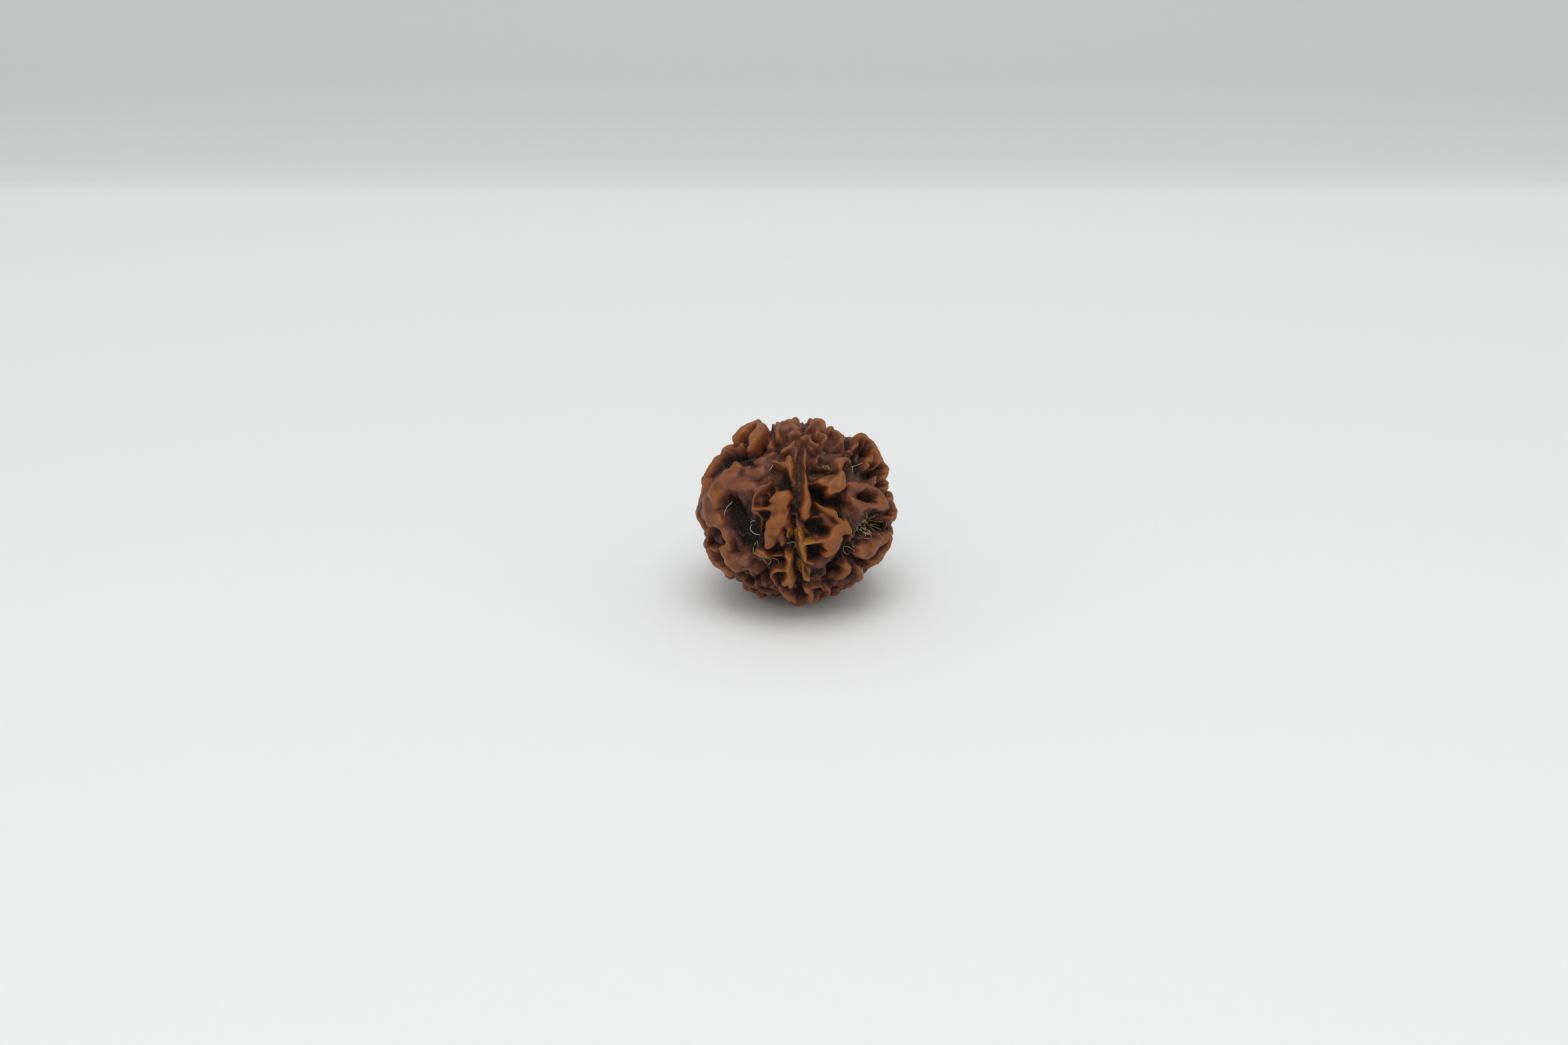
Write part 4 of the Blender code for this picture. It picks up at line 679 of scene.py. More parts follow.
@dataclass
class StoneForm:
    """The stone's shape in its own frame: the height of its surface over the mean crest, in millimetres."""

    ball: SquatBall
    sides: HiddenSides
    # Middle ground between the ridges, which drops on the hidden sides, and its gentle swell
    ground: float = -1.1
    side_ground_drop: float = 0.45
    side_ground_start: float = 0.3
    swell: float = 0.3
    swell_pitch: float = 3.0
    swell_seed: int = 6
    # Cross-section of a ridge, and the fillet where one form runs into another
    shoulder: float = 0.76
    flank: float = 0.7
    crown_drop: float = 0.48
    root_depth: float = 3.2
    fillet: float = 0.7
    # Cross-section of a cut: its flat floor as a share of its half width, and its walls
    floor_share: float = 0.3
    pit_wall: float = 0.6
    crease_wall: float = 0.35
    # How far a ridge or a cut can reach beyond its half width
    reach: float = 1.4
    # Irregularity as (pitch, size, first seed): outlines wander, crests ripple, and walls wobble, the
    # crests down to a depth by a share of it
    wander: tuple = ((2.6, 0.12, 1), (1.2, 0.05, 11))
    ripples: tuple = ((2.0, 0.1, 4), (0.9, 0.03, 7))
    wobble: tuple = (1.3, 0.12, 21)
    crest_wobble_share: float = 0.3
    crest_depth: float = 1.5

    def near_path(self, places: np.ndarray, points: np.ndarray, widths: np.ndarray) -> np.ndarray:
        """Numbers of the places that a path can touch.

        Args:
            places: Points on the mean crest, one a row.
            points: Points of the path, one a row.
            widths: Half width of the path at each.

        Returns:
            Row numbers of the places.
        """
        middle = points.mean(axis=0)
        reach = np.linalg.norm(points - middle, axis=1).max() + widths.max() + self.reach
        return np.flatnonzero(((places - middle) ** 2).sum(axis=1) < reach * reach)

    def middle_ground(self, places: np.ndarray) -> np.ndarray:
        """Height of the ground between the ridges, which lies lower on the hidden sides.

        Args:
            places: Points on the mean crest, one a row.

        Returns:
            One height a place.
        """
        turned_away = smooth_step(places[:, 1] / self.ball.radius + self.side_ground_start)
        ground = self.ground - self.side_ground_drop * turned_away
        return ground + self.swell * ripple(places, self.swell_pitch, self.swell_seed)

    def front_ridges(self, ridges: tuple) -> list[tuple]:
        """Ridges drawn in the front view: (points, half widths, lift) of each."""
        return [(*self.ball.front_path(ridge.path, ridge.lift), ridge.lift) for ridge in ridges]

    def front_cuts(self, cuts: tuple, lift: float) -> list[tuple]:
        """Cuts drawn in the front view: (floor, points, half widths) of each."""
        return [(cut.floor, *self.ball.front_path(cut.path, lift)) for cut in cuts]

    def raise_ridges(self, places: np.ndarray, height: np.ndarray, ridges: list[tuple]) -> None:
        """Raises ridges over the ground, with a soft fillet where one form runs into another.

        Args:
            places: Points on the mean crest, one a row.
            height: Height at each place, which is changed.
            ridges: (points, half widths, lifts) of each.
        """
        for points, widths, lifts in ridges:
            near = self.near_path(places, points, widths)
            distance, width, way = along_path(places[near], points, widths)
            lift = np.interp(way, np.arange(len(points)), np.broadcast_to(lifts, len(points)))
            span = (1.0 - self.shoulder) * width + self.flank
            fall = smooth_step((distance - self.shoulder * width) / span)
            crown = self.crown_drop * np.minimum(distance / width, 1.0) ** 2
            risen = lift - crown - fall * (lift - crown + self.root_depth)
            gap = np.maximum(self.fillet - np.abs(height[near] - risen), 0.0)
            height[near] = np.maximum(height[near], risen) + gap**2 / (4.0 * self.fillet)

    def cut_down(self, places: np.ndarray, height: np.ndarray, cuts: list[tuple], wall: float) -> None:
        """Lowers the height where pits, creases and seams go down, with walls of the given width.

        Args:
            places: Points on the mean crest, one a row.
            height: Height at each place, which is changed.
            cuts: (floor, points, half widths) of each.
            wall: Width of their walls.
        """
        for floor, points, widths in cuts:
            near = self.near_path(places, points, widths)
            distance, width, _ = along_path(places[near], points, widths)
            span = (1.0 - self.floor_share) * width + wall
            inside = 1.0 - smooth_step((distance - self.floor_share * width) / span)
            height[near] -= inside * np.maximum(height[near] - floor, 0.0)

    def relief(self, directions: np.ndarray) -> np.ndarray:
        """Height of the stone's surface over its mean crest, along unit directions.

        Args:
            directions: Unit vectors in the stone's frame, one a row.

        Returns:
            One height a direction.
        """
        places = directions * self.ball.mean_crest(directions)[:, None]
        for pitch, size, first_seed in self.wander:
            places = places + size * drift(places, pitch, first_seed)
        height = self.middle_ground(places)
        self.raise_ridges(places, height, self.front_ridges(FRONT_RIDGES) + self.sides.ridges())
        self.cut_down(places, height, self.front_cuts(PITS, self.ground), self.pit_wall)
        self.raise_ridges(places, height, self.front_ridges(PIT_KNOBS))
        over_the_edge = [(cut.floor, *self.ball.edge_path(cut.path)) for cut in OVER_THE_EDGE]
        cuts = self.front_cuts(FRONT_CUTS, 0.0) + over_the_edge + self.sides.seams()
        self.cut_down(places, height, cuts, self.crease_wall)
        for pitch, size, seed in self.ripples:
            height = height + size * ripple(places, pitch, seed)
        return height

    def surface(self, directions: np.ndarray) -> np.ndarray:
        """Points of the stone's surface in its own frame, along unit directions.

        Args:
            directions: Unit vectors in the stone's frame, one a row.

        Returns:
            One point a direction.
        """
        height = self.relief(directions)
        surface = directions * (self.ball.mean_crest(directions) + height)[:, None]
        pitch, size, first_seed = self.wobble
        raised = smooth_step(height / self.crest_depth + 1.0)
        share = 1.0 - (1.0 - self.crest_wobble_share) * raised
        return surface + size * share[:, None] * drift(surface, pitch, first_seed)


@dataclass
class Lie:
    """How the stone lies: leaned back on three pointed knuckles, fitted to the box of the solid."""

    lean_back: float = math.radians(23)
    rest_height: float = 10.95
    # The points of the knuckles, right and ahead of the stone's middle, their slope and their rounding
    feet: tuple = ((0.2, 3.2), (4.1, -2.4), (-4.1, -2.4))
    foot_slope: float = 0.3
    foot_round: float = 2.5
    # The flat spot between them: its middle, radius, height over the points, and the slope round it
    flat_spot: tuple = (0.0, 0.2)
    flat_radius: float = 0.9
    flat_recess: float = 0.01
    flat_edge: float = 0.8
    # How far the rest stays off the table, and how deep a point lies that can come near it
    clearance: float = 0.35
    underside: float = 7.0
    # Worked out by fit
    scale: np.ndarray = field(default_factory=lambda: np.ones(3))
    middle: np.ndarray = field(default_factory=lambda: np.zeros(3))

    def turn(self) -> np.ndarray:
        """The matrix that leans the stone back."""
        return np.array(Euler((-self.lean_back, 0.0, 0.0)).to_matrix())

    def stand(self, surface: np.ndarray) -> None:
        """Shapes three pointed feet and the flat spot between them, and keeps the rest off the table.

        Args:
            surface: Points of the surface in the stone's frame, which are moved.
        """
        down = np.array((0.0, math.sin(self.lean_back), -math.cos(self.lean_back)))
        ahead = np.array((0.0, -math.cos(self.lean_back), -math.sin(self.lean_back)))
        under = np.flatnonzero(surface @ down > self.underside)
        depth = surface[under] @ down
        aside = np.stack([surface[under, 0], surface[under] @ ahead], axis=1)
        rim = np.maximum(np.linalg.norm(aside - self.flat_spot, axis=1) - self.flat_radius, 0.0)
        flat_level = self.rest_height - self.flat_recess
        least = flat_level - rim
        most = flat_level - np.minimum(self.flat_edge * rim, self.clearance)
        for foot in self.feet:
            tip = np.argmin(np.linalg.norm(aside - foot, axis=1))
            apart = np.linalg.norm(aside - aside[tip], axis=1)
            cone = self.rest_height - self.foot_slope * apart
            most = np.maximum(most, cone)
            least = np.maximum(least, cone - apart**2 / (2.0 * self.foot_round))
        surface[under] += (np.clip(depth, least, most) - depth)[:, None] * down

    def fit(self, surface: np.ndarray) -> None:
        """Works out the scale and the middle that fit the stone's surface to the solid's box.

        Args:
            surface: Points of the surface in the stone's frame.
        """
        leaned = surface @ self.turn().T
        low, high = leaned.min(axis=0), leaned.max(axis=0)
        low[2] = -self.rest_height
        box_low, box_high = (np.array(corner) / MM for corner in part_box(STONE_NODE))
        self.scale = (box_high - box_low) / (high - low)
        self.middle = box_low - low * self.scale

    def place(self, points: np.ndarray) -> np.ndarray:
        """Points of the stone's frame, in millimetres, as metres on the floor.

        Args:
            points: Points, one a row.

        Returns:
            The points as they lie, none of them under the floor.
        """
        placed = points @ self.turn().T * self.scale + self.middle
        placed[:, 2] = np.maximum(placed[:, 2], 0.0)
        return placed * MM

    def take_back(self, placed: np.ndarray) -> np.ndarray:
        """Points in metres on the floor, back in the stone's frame in millimetres."""
        return (placed / MM - self.middle) / self.scale @ self.turn()


def linear(hexadecimal: str) -> tuple[float, float, float, float]:
    """The linear colour of an sRGB value.

    Args:
        hexadecimal: The value, such as "#8a5a3b".

    Returns:
        Red, green, blue and an alpha of 1.
    """
    parts = [int(hexadecimal[start:start + 2], 16) / 255.0 for start in (1, 3, 5)]
    red, green, blue = (p / 12.92 if p <= 0.04045 else ((p + 0.055) / 1.055) ** 2.4 for p in parts)
    return red, green, blue, 1.0


def per_mm(size: float) -> float:
    """Texture scale in a metre frame that gives a pattern a feature every so many millimetres."""
    return 1.0 / (size * MM)


def feed(tree: bpy.types.NodeTree, node: bpy.types.Node, values: dict, links: dict) -> None:
    """Sets constants and links on a node's input sockets, by the socket's name or number.

    Args:
        tree: Node tree of the material.
        node: The node that is fed.
        values: Constants of its input sockets.
        links: Output sockets that feed its input sockets.
    """
    for name, value in values.items():
        node.inputs[name].default_value = value
    for name, source in links.items():
        tree.links.new(source, node.inputs[name])


def add_node(
    tree: bpy.types.NodeTree,
    kind: str,
    settings: dict | None = None,
    values: dict | None = None,
    links: dict | None = None,
    stops: tuple = (),
) -> bpy.types.Node:
    """Adds a node with its settings and links.

    Args:
        tree: Node tree of the material.
        kind: Blender's name of the node.
        settings: Properties of the node and their values.
        values: Constants of its input sockets, by the socket's name or number.
        links: Output sockets that feed its input sockets, by the socket's name or number.
        stops: Position and sRGB hex value of each stop, for a colour ramp.

    Returns:
        The new node.
    """
    node = tree.nodes.new(kind)
    for name, value in (settings or {}).items():
        setattr(node, name, value)
    feed(tree, node, values or {}, links or {})
    if stops:
        elements = node.color_ramp.elements
        while len(elements) < len(stops):
            elements.new(0.5)
        for element, (position, colour) in zip(elements, stops):
            element.position = position
            element.color = linear(colour)
    return node


def start_material(
    name: str,
) -> tuple[bpy.types.Material, bpy.types.NodeTree, bpy.types.Node, bpy.types.NodeSocket]:
    """A new material, its node tree, its shader, and the socket that gives a point's own place.

    Args:
        name: Name of the material.

    Returns:
        The material, its node tree, its shader and that socket.
    """
    material = bpy.data.materials.new(name)
    material.use_nodes = True
    tree = material.node_tree
    place = add_node(tree, "ShaderNodeTexCoord").outputs["Object"]
    return material, tree, tree.nodes["Principled BSDF"], place


@dataclass(frozen=True)
class Mottle:
    """A noise pattern: how many millimetres a feature of it is across, its detail and roughness."""

    size: float
    detail: float
    roughness: float


@dataclass(frozen=True)
class OiledStoneWood:
    """Hard woody stone, rubbed with oil: satin tan crests, brown flanks, near-black pits whose darkness is
    partly painted shade.

    The eye reads it as dough-like brown wood: the crests are worn smooth and take a soft sheen, and what lies
    deep stays rough and dusty, and is painted dark, partly in its own colour and partly as shade.
    """

    name: str = "oiled stone wood"
    # The wood from the deepest pit to the highest crest, its dark low end partly painted shade in the pits
    wood_and_pit_shade: tuple = (
        (0.05, "#160a06"), (0.24, "#28120c"), (0.45, "#4a2418"), (0.63, "#5c2c15"), (0.84, "#713b17"),
        (1.0, "#844d21"),
    )
    # What lies on it: mealy, pinkish skin, old golden pulp, brown dust in valleys and pale dust in pits
    mealy: str = "#764736"
    golden: str = "#946324"
    seam_dust: str = "#573a21"
    dust: str = "#80735e"
    # The patterns that break up the wood and each layer. Real specks of dust and wrinkles are finer, and
    # these are drawn as coarse as they need to be to show
    blotches: Mottle = Mottle(2.5, 5.0, 0.62)
    grains: Mottle = Mottle(0.5, 4.0, 0.7)
    flakes: Mottle = Mottle(0.8, 6.0, 0.7)
    specks: Mottle = Mottle(0.22, 2.0, 0.6)
    wrinkles: Mottle = Mottle(0.35, 8.0, 0.65)
    # How far a blotch shifts the wood along its range, and how far painted shade in hollows, round pits and
    # in holes darkens it
    blotch_shift: float = 0.34
    hollow_shade_shift: float = -0.3
    pit_shade_shift: float = -0.22
    # Where a pattern starts and is full, how far the pale specks cover, and how deep they stay
    flake_range: tuple = (0.36, 0.56)
    speck_range: tuple = (0.62, 0.72)
    speck_cover: float = 0.4
    low_range: tuple = (0.62, 0.35)
    # The sheen, from pit to crest, and the wrinkles' depth in millimetres
    specular_level: float = 0.3
    ior: float = 1.5
    rough_range: tuple = (0.25, 0.75)
    roughness: tuple = (0.85, 0.36)
    wrinkle_range: tuple = (0.3, 0.8)
    wrinkle_strength: tuple = (0.9, 0.2)
    wrinkle_depth: float = 0.12

    def level(self, tree: bpy.types.NodeTree, read: dict, seen: dict) -> bpy.types.NodeSocket:
        """How high the wood lies, shifted by blotches, and lowered in hollows to paint shade into them.

        Args:
            tree: Node tree of the material.
            read: Sockets of the stone's measures, by name.
            seen: Sockets of the patterns, by name.

        Returns:
            The socket that gives the level, from 0 in the deepest pit to 1 on the highest crest.
        """
        shift = add_node(
            tree, "ShaderNodeMath", {"operation": "MULTIPLY_ADD"},
            {1: self.blotch_shift, 2: -self.blotch_shift / 2.0}, {0: seen["blotches"]},
        ).outputs[0]
        level = add_node(
            tree, "ShaderNodeMath", {"operation": "ADD"}, links={0: read["rise"], 1: shift},
        ).outputs[0]
        # Painted shade: hollows are pushed down the wood's range, so they darken
        return add_node(
            tree, "ShaderNodeMath", {"operation": "MULTIPLY_ADD"}, {1: self.hollow_shade_shift},
            {0: read["hollow"], 2: level},
        ).outputs[0]

    def colour(
        self, tree: bpy.types.NodeTree, read: dict, seen: dict, level: bpy.types.NodeSocket
    ) -> bpy.types.NodeSocket:
        """The colour of the wood, darkened by painted shade round the pits and in the holes, and of the
        layers that lie on it.

        Args:
            tree: Node tree of the material.
            read: Sockets of the stone's measures, by name.
            seen: Sockets of the patterns, by name.
            level: Socket of the wood's level.

        Returns:
            The socket that gives the colour.
        """
        # Painted shade darkens the wood round each pit, and more in the holes
        pit_shaded = add_node(
            tree, "ShaderNodeMath", {"operation": "MULTIPLY_ADD"}, {1: self.pit_shade_shift},
            {0: read["pit_shaded"], 2: level},
        ).outputs[0]
        colour = add_node(
            tree, "ShaderNodeValToRGB", links={"Fac": pit_shaded}, stops=self.wood_and_pit_shade,
        ).outputs["Color"]
        flakes, specks, low = (
            add_node(
                tree, "ShaderNodeMapRange",
                values={"From Min": start, "From Max": end, "To Max": cover}, links={"Value": source},
            ).outputs[0]
            for source, (start, end), cover in (
                (seen["flakes"], self.flake_range, 1.0),
                (seen["specks"], self.speck_range, self.speck_cover),
                (read["rise"], self.low_range, 1.0),
            )
        )
        layers = (
            (self.mealy, read["mealy"], seen["grains"]),
            (self.golden, read["golden"], flakes),
            (self.seam_dust, read["seam_dust"], flakes),
            (self.dust, specks, low),
        )
        for tint, where, pattern in layers:
            share = add_node(
                tree, "ShaderNodeMath", {"operation": "MULTIPLY"}, links={0: where, 1: pattern},
            ).outputs[0]
            colour = add_node(
                tree, "ShaderNodeMix", {"data_type": "RGBA"}, {7: linear(tint)}, {0: share, 6: colour},
            ).outputs[2]
        return colour

    def build(self) -> bpy.types.Material:
        """Makes the material.

        Returns:
            A material that reads the stone's own measures of height, hollow, stains and painted shade.
        """
        material, tree, shader, place = start_material(self.name)
        read = {
            name: add_node(tree, "ShaderNodeAttribute", {"attribute_name": name}).outputs["Fac"]
            for name in ("rise", "hollow", "mealy", "golden", "pit_shaded", "seam_dust")
        }
        seen = {}
        for name in ("blotches", "grains", "flakes", "specks", "wrinkles"):
            mottle = getattr(self, name)
            seen[name] = add_node(
                tree, "ShaderNodeTexNoise",
                values={
                    "Scale": per_mm(mottle.size), "Detail": mottle.detail, "Roughness": mottle.roughness,
                },
                links={"Vector": place},
            ).outputs["Fac"]
        level = self.level(tree, read, seen)
        # Crests are worn smooth, and both sheen and wrinkles follow the level
        roughness, strength = (
            add_node(
                tree, "ShaderNodeMapRange",
                values={"From Min": start, "From Max": end, "To Min": in_pits, "To Max": on_crests},
                links={"Value": level},
            ).outputs[0]
            for (start, end), (in_pits, on_crests) in (
                (self.rough_range, self.roughness), (self.wrinkle_range, self.wrinkle_strength),
            )
        )
        bump = add_node(
            tree, "ShaderNodeBump", values={"Distance": self.wrinkle_depth * MM},
            links={"Height": seen["wrinkles"], "Strength": strength},
        ).outputs["Normal"]
        feed(
            tree, shader, {"IOR": self.ior, "Specular IOR Level": self.specular_level},
            {"Base Color": self.colour(tree, read, seen, level), "Roughness": roughness, "Normal": bump},
        )
        return material


@dataclass(frozen=True)
class PlainFinish:
    """A small or plain surface: one colour, broken up by a faint noise, with its own roughness.

    It gives the eye dry matter with no gloss: fibre, lint or dust.
    """

    name: str
    dark: str
    light: str
    roughness: float
    feature: float
    detail: float = 3.0
    ends: tuple = (0.35, 0.65)
    ior: float = 1.5

    def build(self) -> bpy.types.Material:
        """Makes the material, mottled between its dark and light colour.

        Returns:
            The material.
        """
        material, tree, shader, place = start_material(self.name)
        mottle = add_node(
            tree, "ShaderNodeTexNoise", values={"Scale": per_mm(self.feature), "Detail": self.detail},
            links={"Vector": place},
        ).outputs["Fac"]
        colour = add_node(
            tree, "ShaderNodeValToRGB", links={"Fac": mottle},
            stops=tuple(zip(self.ends, (self.dark, self.light))),
        ).outputs["Color"]
        feed(tree, shader, {"Roughness": self.roughness, "IOR": self.ior}, {"Base Color": colour})
        return material


@dataclass(frozen=True)
class MattePaper:
    """The sheet under and behind the seed: matte paper, painted greyer where it rises into a backdrop, as
    painted shade.

    It gives the eye a plain pale ground that ends in painted grey shade, and no gloss.
    """

    name: str = "matte paper"
    # Height over which the rising sheet turns grey: painted shade
    painted_shade_height: float = 25.0
    roughness: float = 0.85
    # Pale floor, then the painted shade of the rising sheet
    stops: tuple = (
        (0.0, "#eaebeb"), (0.03, "#dbdcdc"), (0.1, "#d1d3d3"), (0.3, "#c8caca"), (0.5, "#c4c6c6"),
    )

    def build(self) -> bpy.types.Material:
        """Makes the material, its colour taken from the height over the floor, with painted shade as it
        rises.

        Returns:
            The material.
        """
        material, tree, shader, place = start_material(self.name)
        height = add_node(tree, "ShaderNodeSeparateXYZ", links={"Vector": place}).outputs["Z"]
        share = add_node(
            tree, "ShaderNodeMapRange", values={"From Max": self.painted_shade_height * MM}, links={"Value": height},
        ).outputs[0]
        colour = add_node(tree, "ShaderNodeValToRGB", links={"Fac": share}, stops=self.stops)
        feed(tree, shader, {"Roughness": self.roughness}, {"Base Color": colour.outputs["Color"]})
        return material


def add_piece(name: str, mesh: bpy.types.Mesh, material: bpy.types.Material) -> bpy.types.Object:
    """Adds a mesh as a smooth-shaded piece that rides on the part's body.

    Args:
        name: Name of the piece.
        mesh: Its mesh, in metres.
        material: Its finish.

    Returns:
        The object, linked to the scene.
    """
    mesh.name = name
    mesh.shade_smooth()
    mesh.materials.clear()
    mesh.materials.append(material)
    piece = bpy.data.objects.new(name, mesh)
    bpy.context.scene.collection.objects.link(piece)
    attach(piece, BODY)
    LOG.info("%s: %d triangles", name, sum(len(face.vertices) - 2 for face in mesh.polygons))
    return piece


def make_mesh(name: str, points: np.ndarray, faces: list) -> bpy.types.Mesh:
    """A mesh of points in metres, one a row, and faces, each a list of the points' numbers.

    Args:
        name: Name of the mesh.
        points: Its vertices.
        faces: Its faces.

    Returns:
        The mesh.
    """
    mesh = bpy.data.meshes.new(name)
    mesh.from_pydata([tuple(point) for point in points], [], faces)
    mesh.validate()
    return mesh


@dataclass
class Stone:
    """The stone's fine surface, which stands for the solid."""

    form: StoneForm
    lie: Lie
    sphere_level: int = 8
    triangles: int = 194000
    # A fine wrinkling moves the surface: its size on crests and in pits of the given depth, and the
    # pitch, octaves and seed of its noise, whose offsets differ from run to run without a seed
    crest_grain: float = 0.012
    pit_grain: float = 0.07
    pit_depth: float = 1.6
    grains_per_mm: float = 1.6
    grain_octaves: int = 3
    grain_seed: int = 3
    # The rise goes from 0 at the lowest height to 1 over this span
    lowest: float = -2.5
    rise_span: float = 3.6
    # A hollow is as deep as this under the surface smoothed over so many steps, and the material paints shade
    # into it
    hollow_reach: int = 14
    hollow_depth: float = 0.16
    # How soft the edge of each stain and of the painted shade round pits and holes is, and how much darker
    # the painted shade is in the holes than round the pits
    golden_edge: float = 0.35
    mealy_edge: float = 1.0
    pit_shade_edge: float = 1.0
    hole_shade_edge: float = 0.4
    hole_shade_weight: float = 1.6
    seam_dust_edge: float = 0.5

    def sphere(self) -> tuple[np.ndarray, list]:
        """Unit directions spread evenly over a sphere, and the triangles between them.

        Returns:
            The directions, one a row, and the row numbers of each triangle.
        """
        shape = bmesh.new()
        bmesh.ops.create_icosphere(shape, subdivisions=self.sphere_level, radius=1.0)
        directions = np.array([vertex.co[:] for vertex in shape.verts])
        faces = [[vertex.index for vertex in face.verts] for face in shape.faces]
        shape.free()
        return directions / np.linalg.norm(directions, axis=1)[:, None], faces

    def grain(self, points: np.ndarray, depth: np.ndarray) -> np.ndarray:
        """Points in millimetres moved by a fine wrinkling, which is coarser where the wood lies deep.

        Args:
            points: Points of the surface, one a row.
            depth: From 0 on a crest to 1 in a pit, for each.

        Returns:
            The moved points.
        """
        moved = points.copy()
        size = self.crest_grain + (self.pit_grain - self.crest_grain) * depth
        noise.seed_set(self.grain_seed)
        for number, (point, amount) in enumerate(zip(points, size)):
            place = Vector(point) * self.grains_per_mm
            moved[number] += amount * np.array(noise.turbulence_vector(place, self.grain_octaves, False)[:])
        return moved

    def thin_out(self, points: np.ndarray, faces: list) -> bpy.types.Mesh:
        """The mesh of the surface with fewer triangles, most of them where it bends.

        Args:
            points: Points in metres, one a row.
            faces: The triangles between them.

        Returns:
            The thinner mesh.
        """
        mesh = bpy.data.meshes.new("surface")
        mesh.from_pydata([tuple(point) for point in points], [], faces)
        carrier = bpy.data.objects.new("surface", mesh)
        bpy.context.scene.collection.objects.link(carrier)
        thinned = carrier.modifiers.new("thin_out", "DECIMATE")
        thinned.ratio = self.triangles / len(faces)
        result = bpy.data.meshes.new_from_object(carrier.evaluated_get(bpy.context.evaluated_depsgraph_get()))
        bpy.data.objects.remove(carrier)
        return result

    def make_surface(self) -> tuple[bpy.types.Mesh, np.ndarray]:
        """Shapes the surface, sets it on its feet and fits it to the solid's box.

        Returns:
            The mesh, in metres on the floor, and its points, one a row.
        """
        directions, faces = self.sphere()
        surface = self.form.surface(directions)
        self.lie.stand(surface)
        self.lie.fit(surface)
        height = np.linalg.norm(surface, axis=1) - self.form.ball.mean_crest(directions)
        grained = self.grain(surface, smooth_step(-height / self.pit_depth))
        mesh = self.thin_out(self.lie.place(grained), faces)
        low, high = (np.array(corner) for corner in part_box(STONE_NODE))
        points = np.clip(np.array([vertex.co[:] for vertex in mesh.vertices]), low, high)
        mesh.vertices.foreach_set("co", points.astype(np.float32).ravel())
        mesh.update()
        return mesh, points

    def hollow(self, mesh: bpy.types.Mesh, points: np.ndarray) -> np.ndarray:
        """How far each vertex lies in a hollow: the surface smoothed over a few steps lies above it.

        Args:
            mesh: The mesh, for its edges and normals.
            points: Its vertices in metres, one a row.

        Returns:
            One number a vertex, 1 at the hollow depth and below 0 on a bulge.
        """
        edges = np.array([edge.vertices[:] for edge in mesh.edges])
        both = np.concatenate([edges, edges[:, ::-1]])
        count = np.bincount(both[:, 0], minlength=len(points))[:, None]
        smooth = points.copy()
        for _ in range(self.hollow_reach):
            total = np.stack([
                np.bincount(both[:, 0], smooth[both[:, 1], axis], len(points)) for axis in range(3)
            ], axis=1)
            smooth = total / count
        normals = np.array([vertex.normal[:] for vertex in mesh.vertices])
        return ((smooth - points) * normals).sum(axis=1) / (self.hollow_depth * MM)

    def stroke_cover(self, directions: np.ndarray, strokes: tuple | list, softness: float) -> np.ndarray:
        """How much each direction takes from strokes of the front view, from 0 to 1, for stains and painted
        shade alike.

        Args:
            directions: Unit vectors in the stone's frame, one a row.
            strokes: (right, up, half width) along each.
            softness: Width of a stroke's soft edge, in millimetres.

        Returns:
            One amount a direction.
        """
        places = directions * self.form.ball.mean_crest(directions)[:, None]
        amount = np.zeros(len(places))
        for stroke in strokes:
            points, widths = self.form.ball.front_path(stroke, 0.0)
            near = self.form.near_path(places, points, widths)
            distance, width, _ = along_path(places[near], points, widths)
            amount[near] = np.maximum(amount[near], 1.0 - smooth_step((distance - width) / softness))
        return amount

    def measure(self, mesh: bpy.types.Mesh, points: np.ndarray) -> None:
        """Writes the height, hollow, stains and painted shade of each vertex on the mesh, for the material to
        read.

        Args:
            mesh: The stone's mesh.
            points: Its vertices in metres, one a row.
        """
        own = self.lie.take_back(points)
        reach = np.linalg.norm(own, axis=1)
        directions = own / reach[:, None]
        height = reach - self.form.ball.mean_crest(directions)
        # Painted shade round the pits, and heavier painted shade in the holes
        pit_shade = self.stroke_cover(directions, [pit.path for pit in PITS], self.pit_shade_edge)
        hole_shade = self.stroke_cover(directions, StainAndShade.HOLE_SHADE.value, self.hole_shade_edge)
        measures = {
            "rise": np.clip((height - self.lowest) / self.rise_span, 0.0, 1.0),
            "hollow": np.clip(self.hollow(mesh, points), -1.0, 1.0),
            "golden": self.stroke_cover(directions, StainAndShade.GOLDEN_PULP.value, self.golden_edge),
            "mealy": self.stroke_cover(directions, StainAndShade.MEALY.value, self.mealy_edge),
            "pit_shaded": pit_shade + self.hole_shade_weight * hole_shade,
            "seam_dust": self.stroke_cover(directions, StainAndShade.SEAM_DUST.value, self.seam_dust_edge),
        }
        for name, values in measures.items():
            written = mesh.attributes.new(name, "FLOAT", "POINT")
            written.data.foreach_set("value", values.astype(np.float32))

    def build(self, material: bpy.types.Material) -> bpy.types.Object:
        """Makes the stone.

        Args:
            material: Its finish, which reads the measures of each vertex.

        Returns:
            The stone's object, in place of the solid.
        """
        mesh, points = self.make_surface()
        mesh.shade_smooth()
        self.measure(mesh, points)
        stone = add_piece("stone_surface", mesh, material)
        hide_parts(STONE_NODE)
        return stone


@dataclass(frozen=True)
class Patch:
    """A place in the front view where strands are caught: its middle, its spread and their number."""

    right: float
    up: float
    across: float
    along: float
    count: int


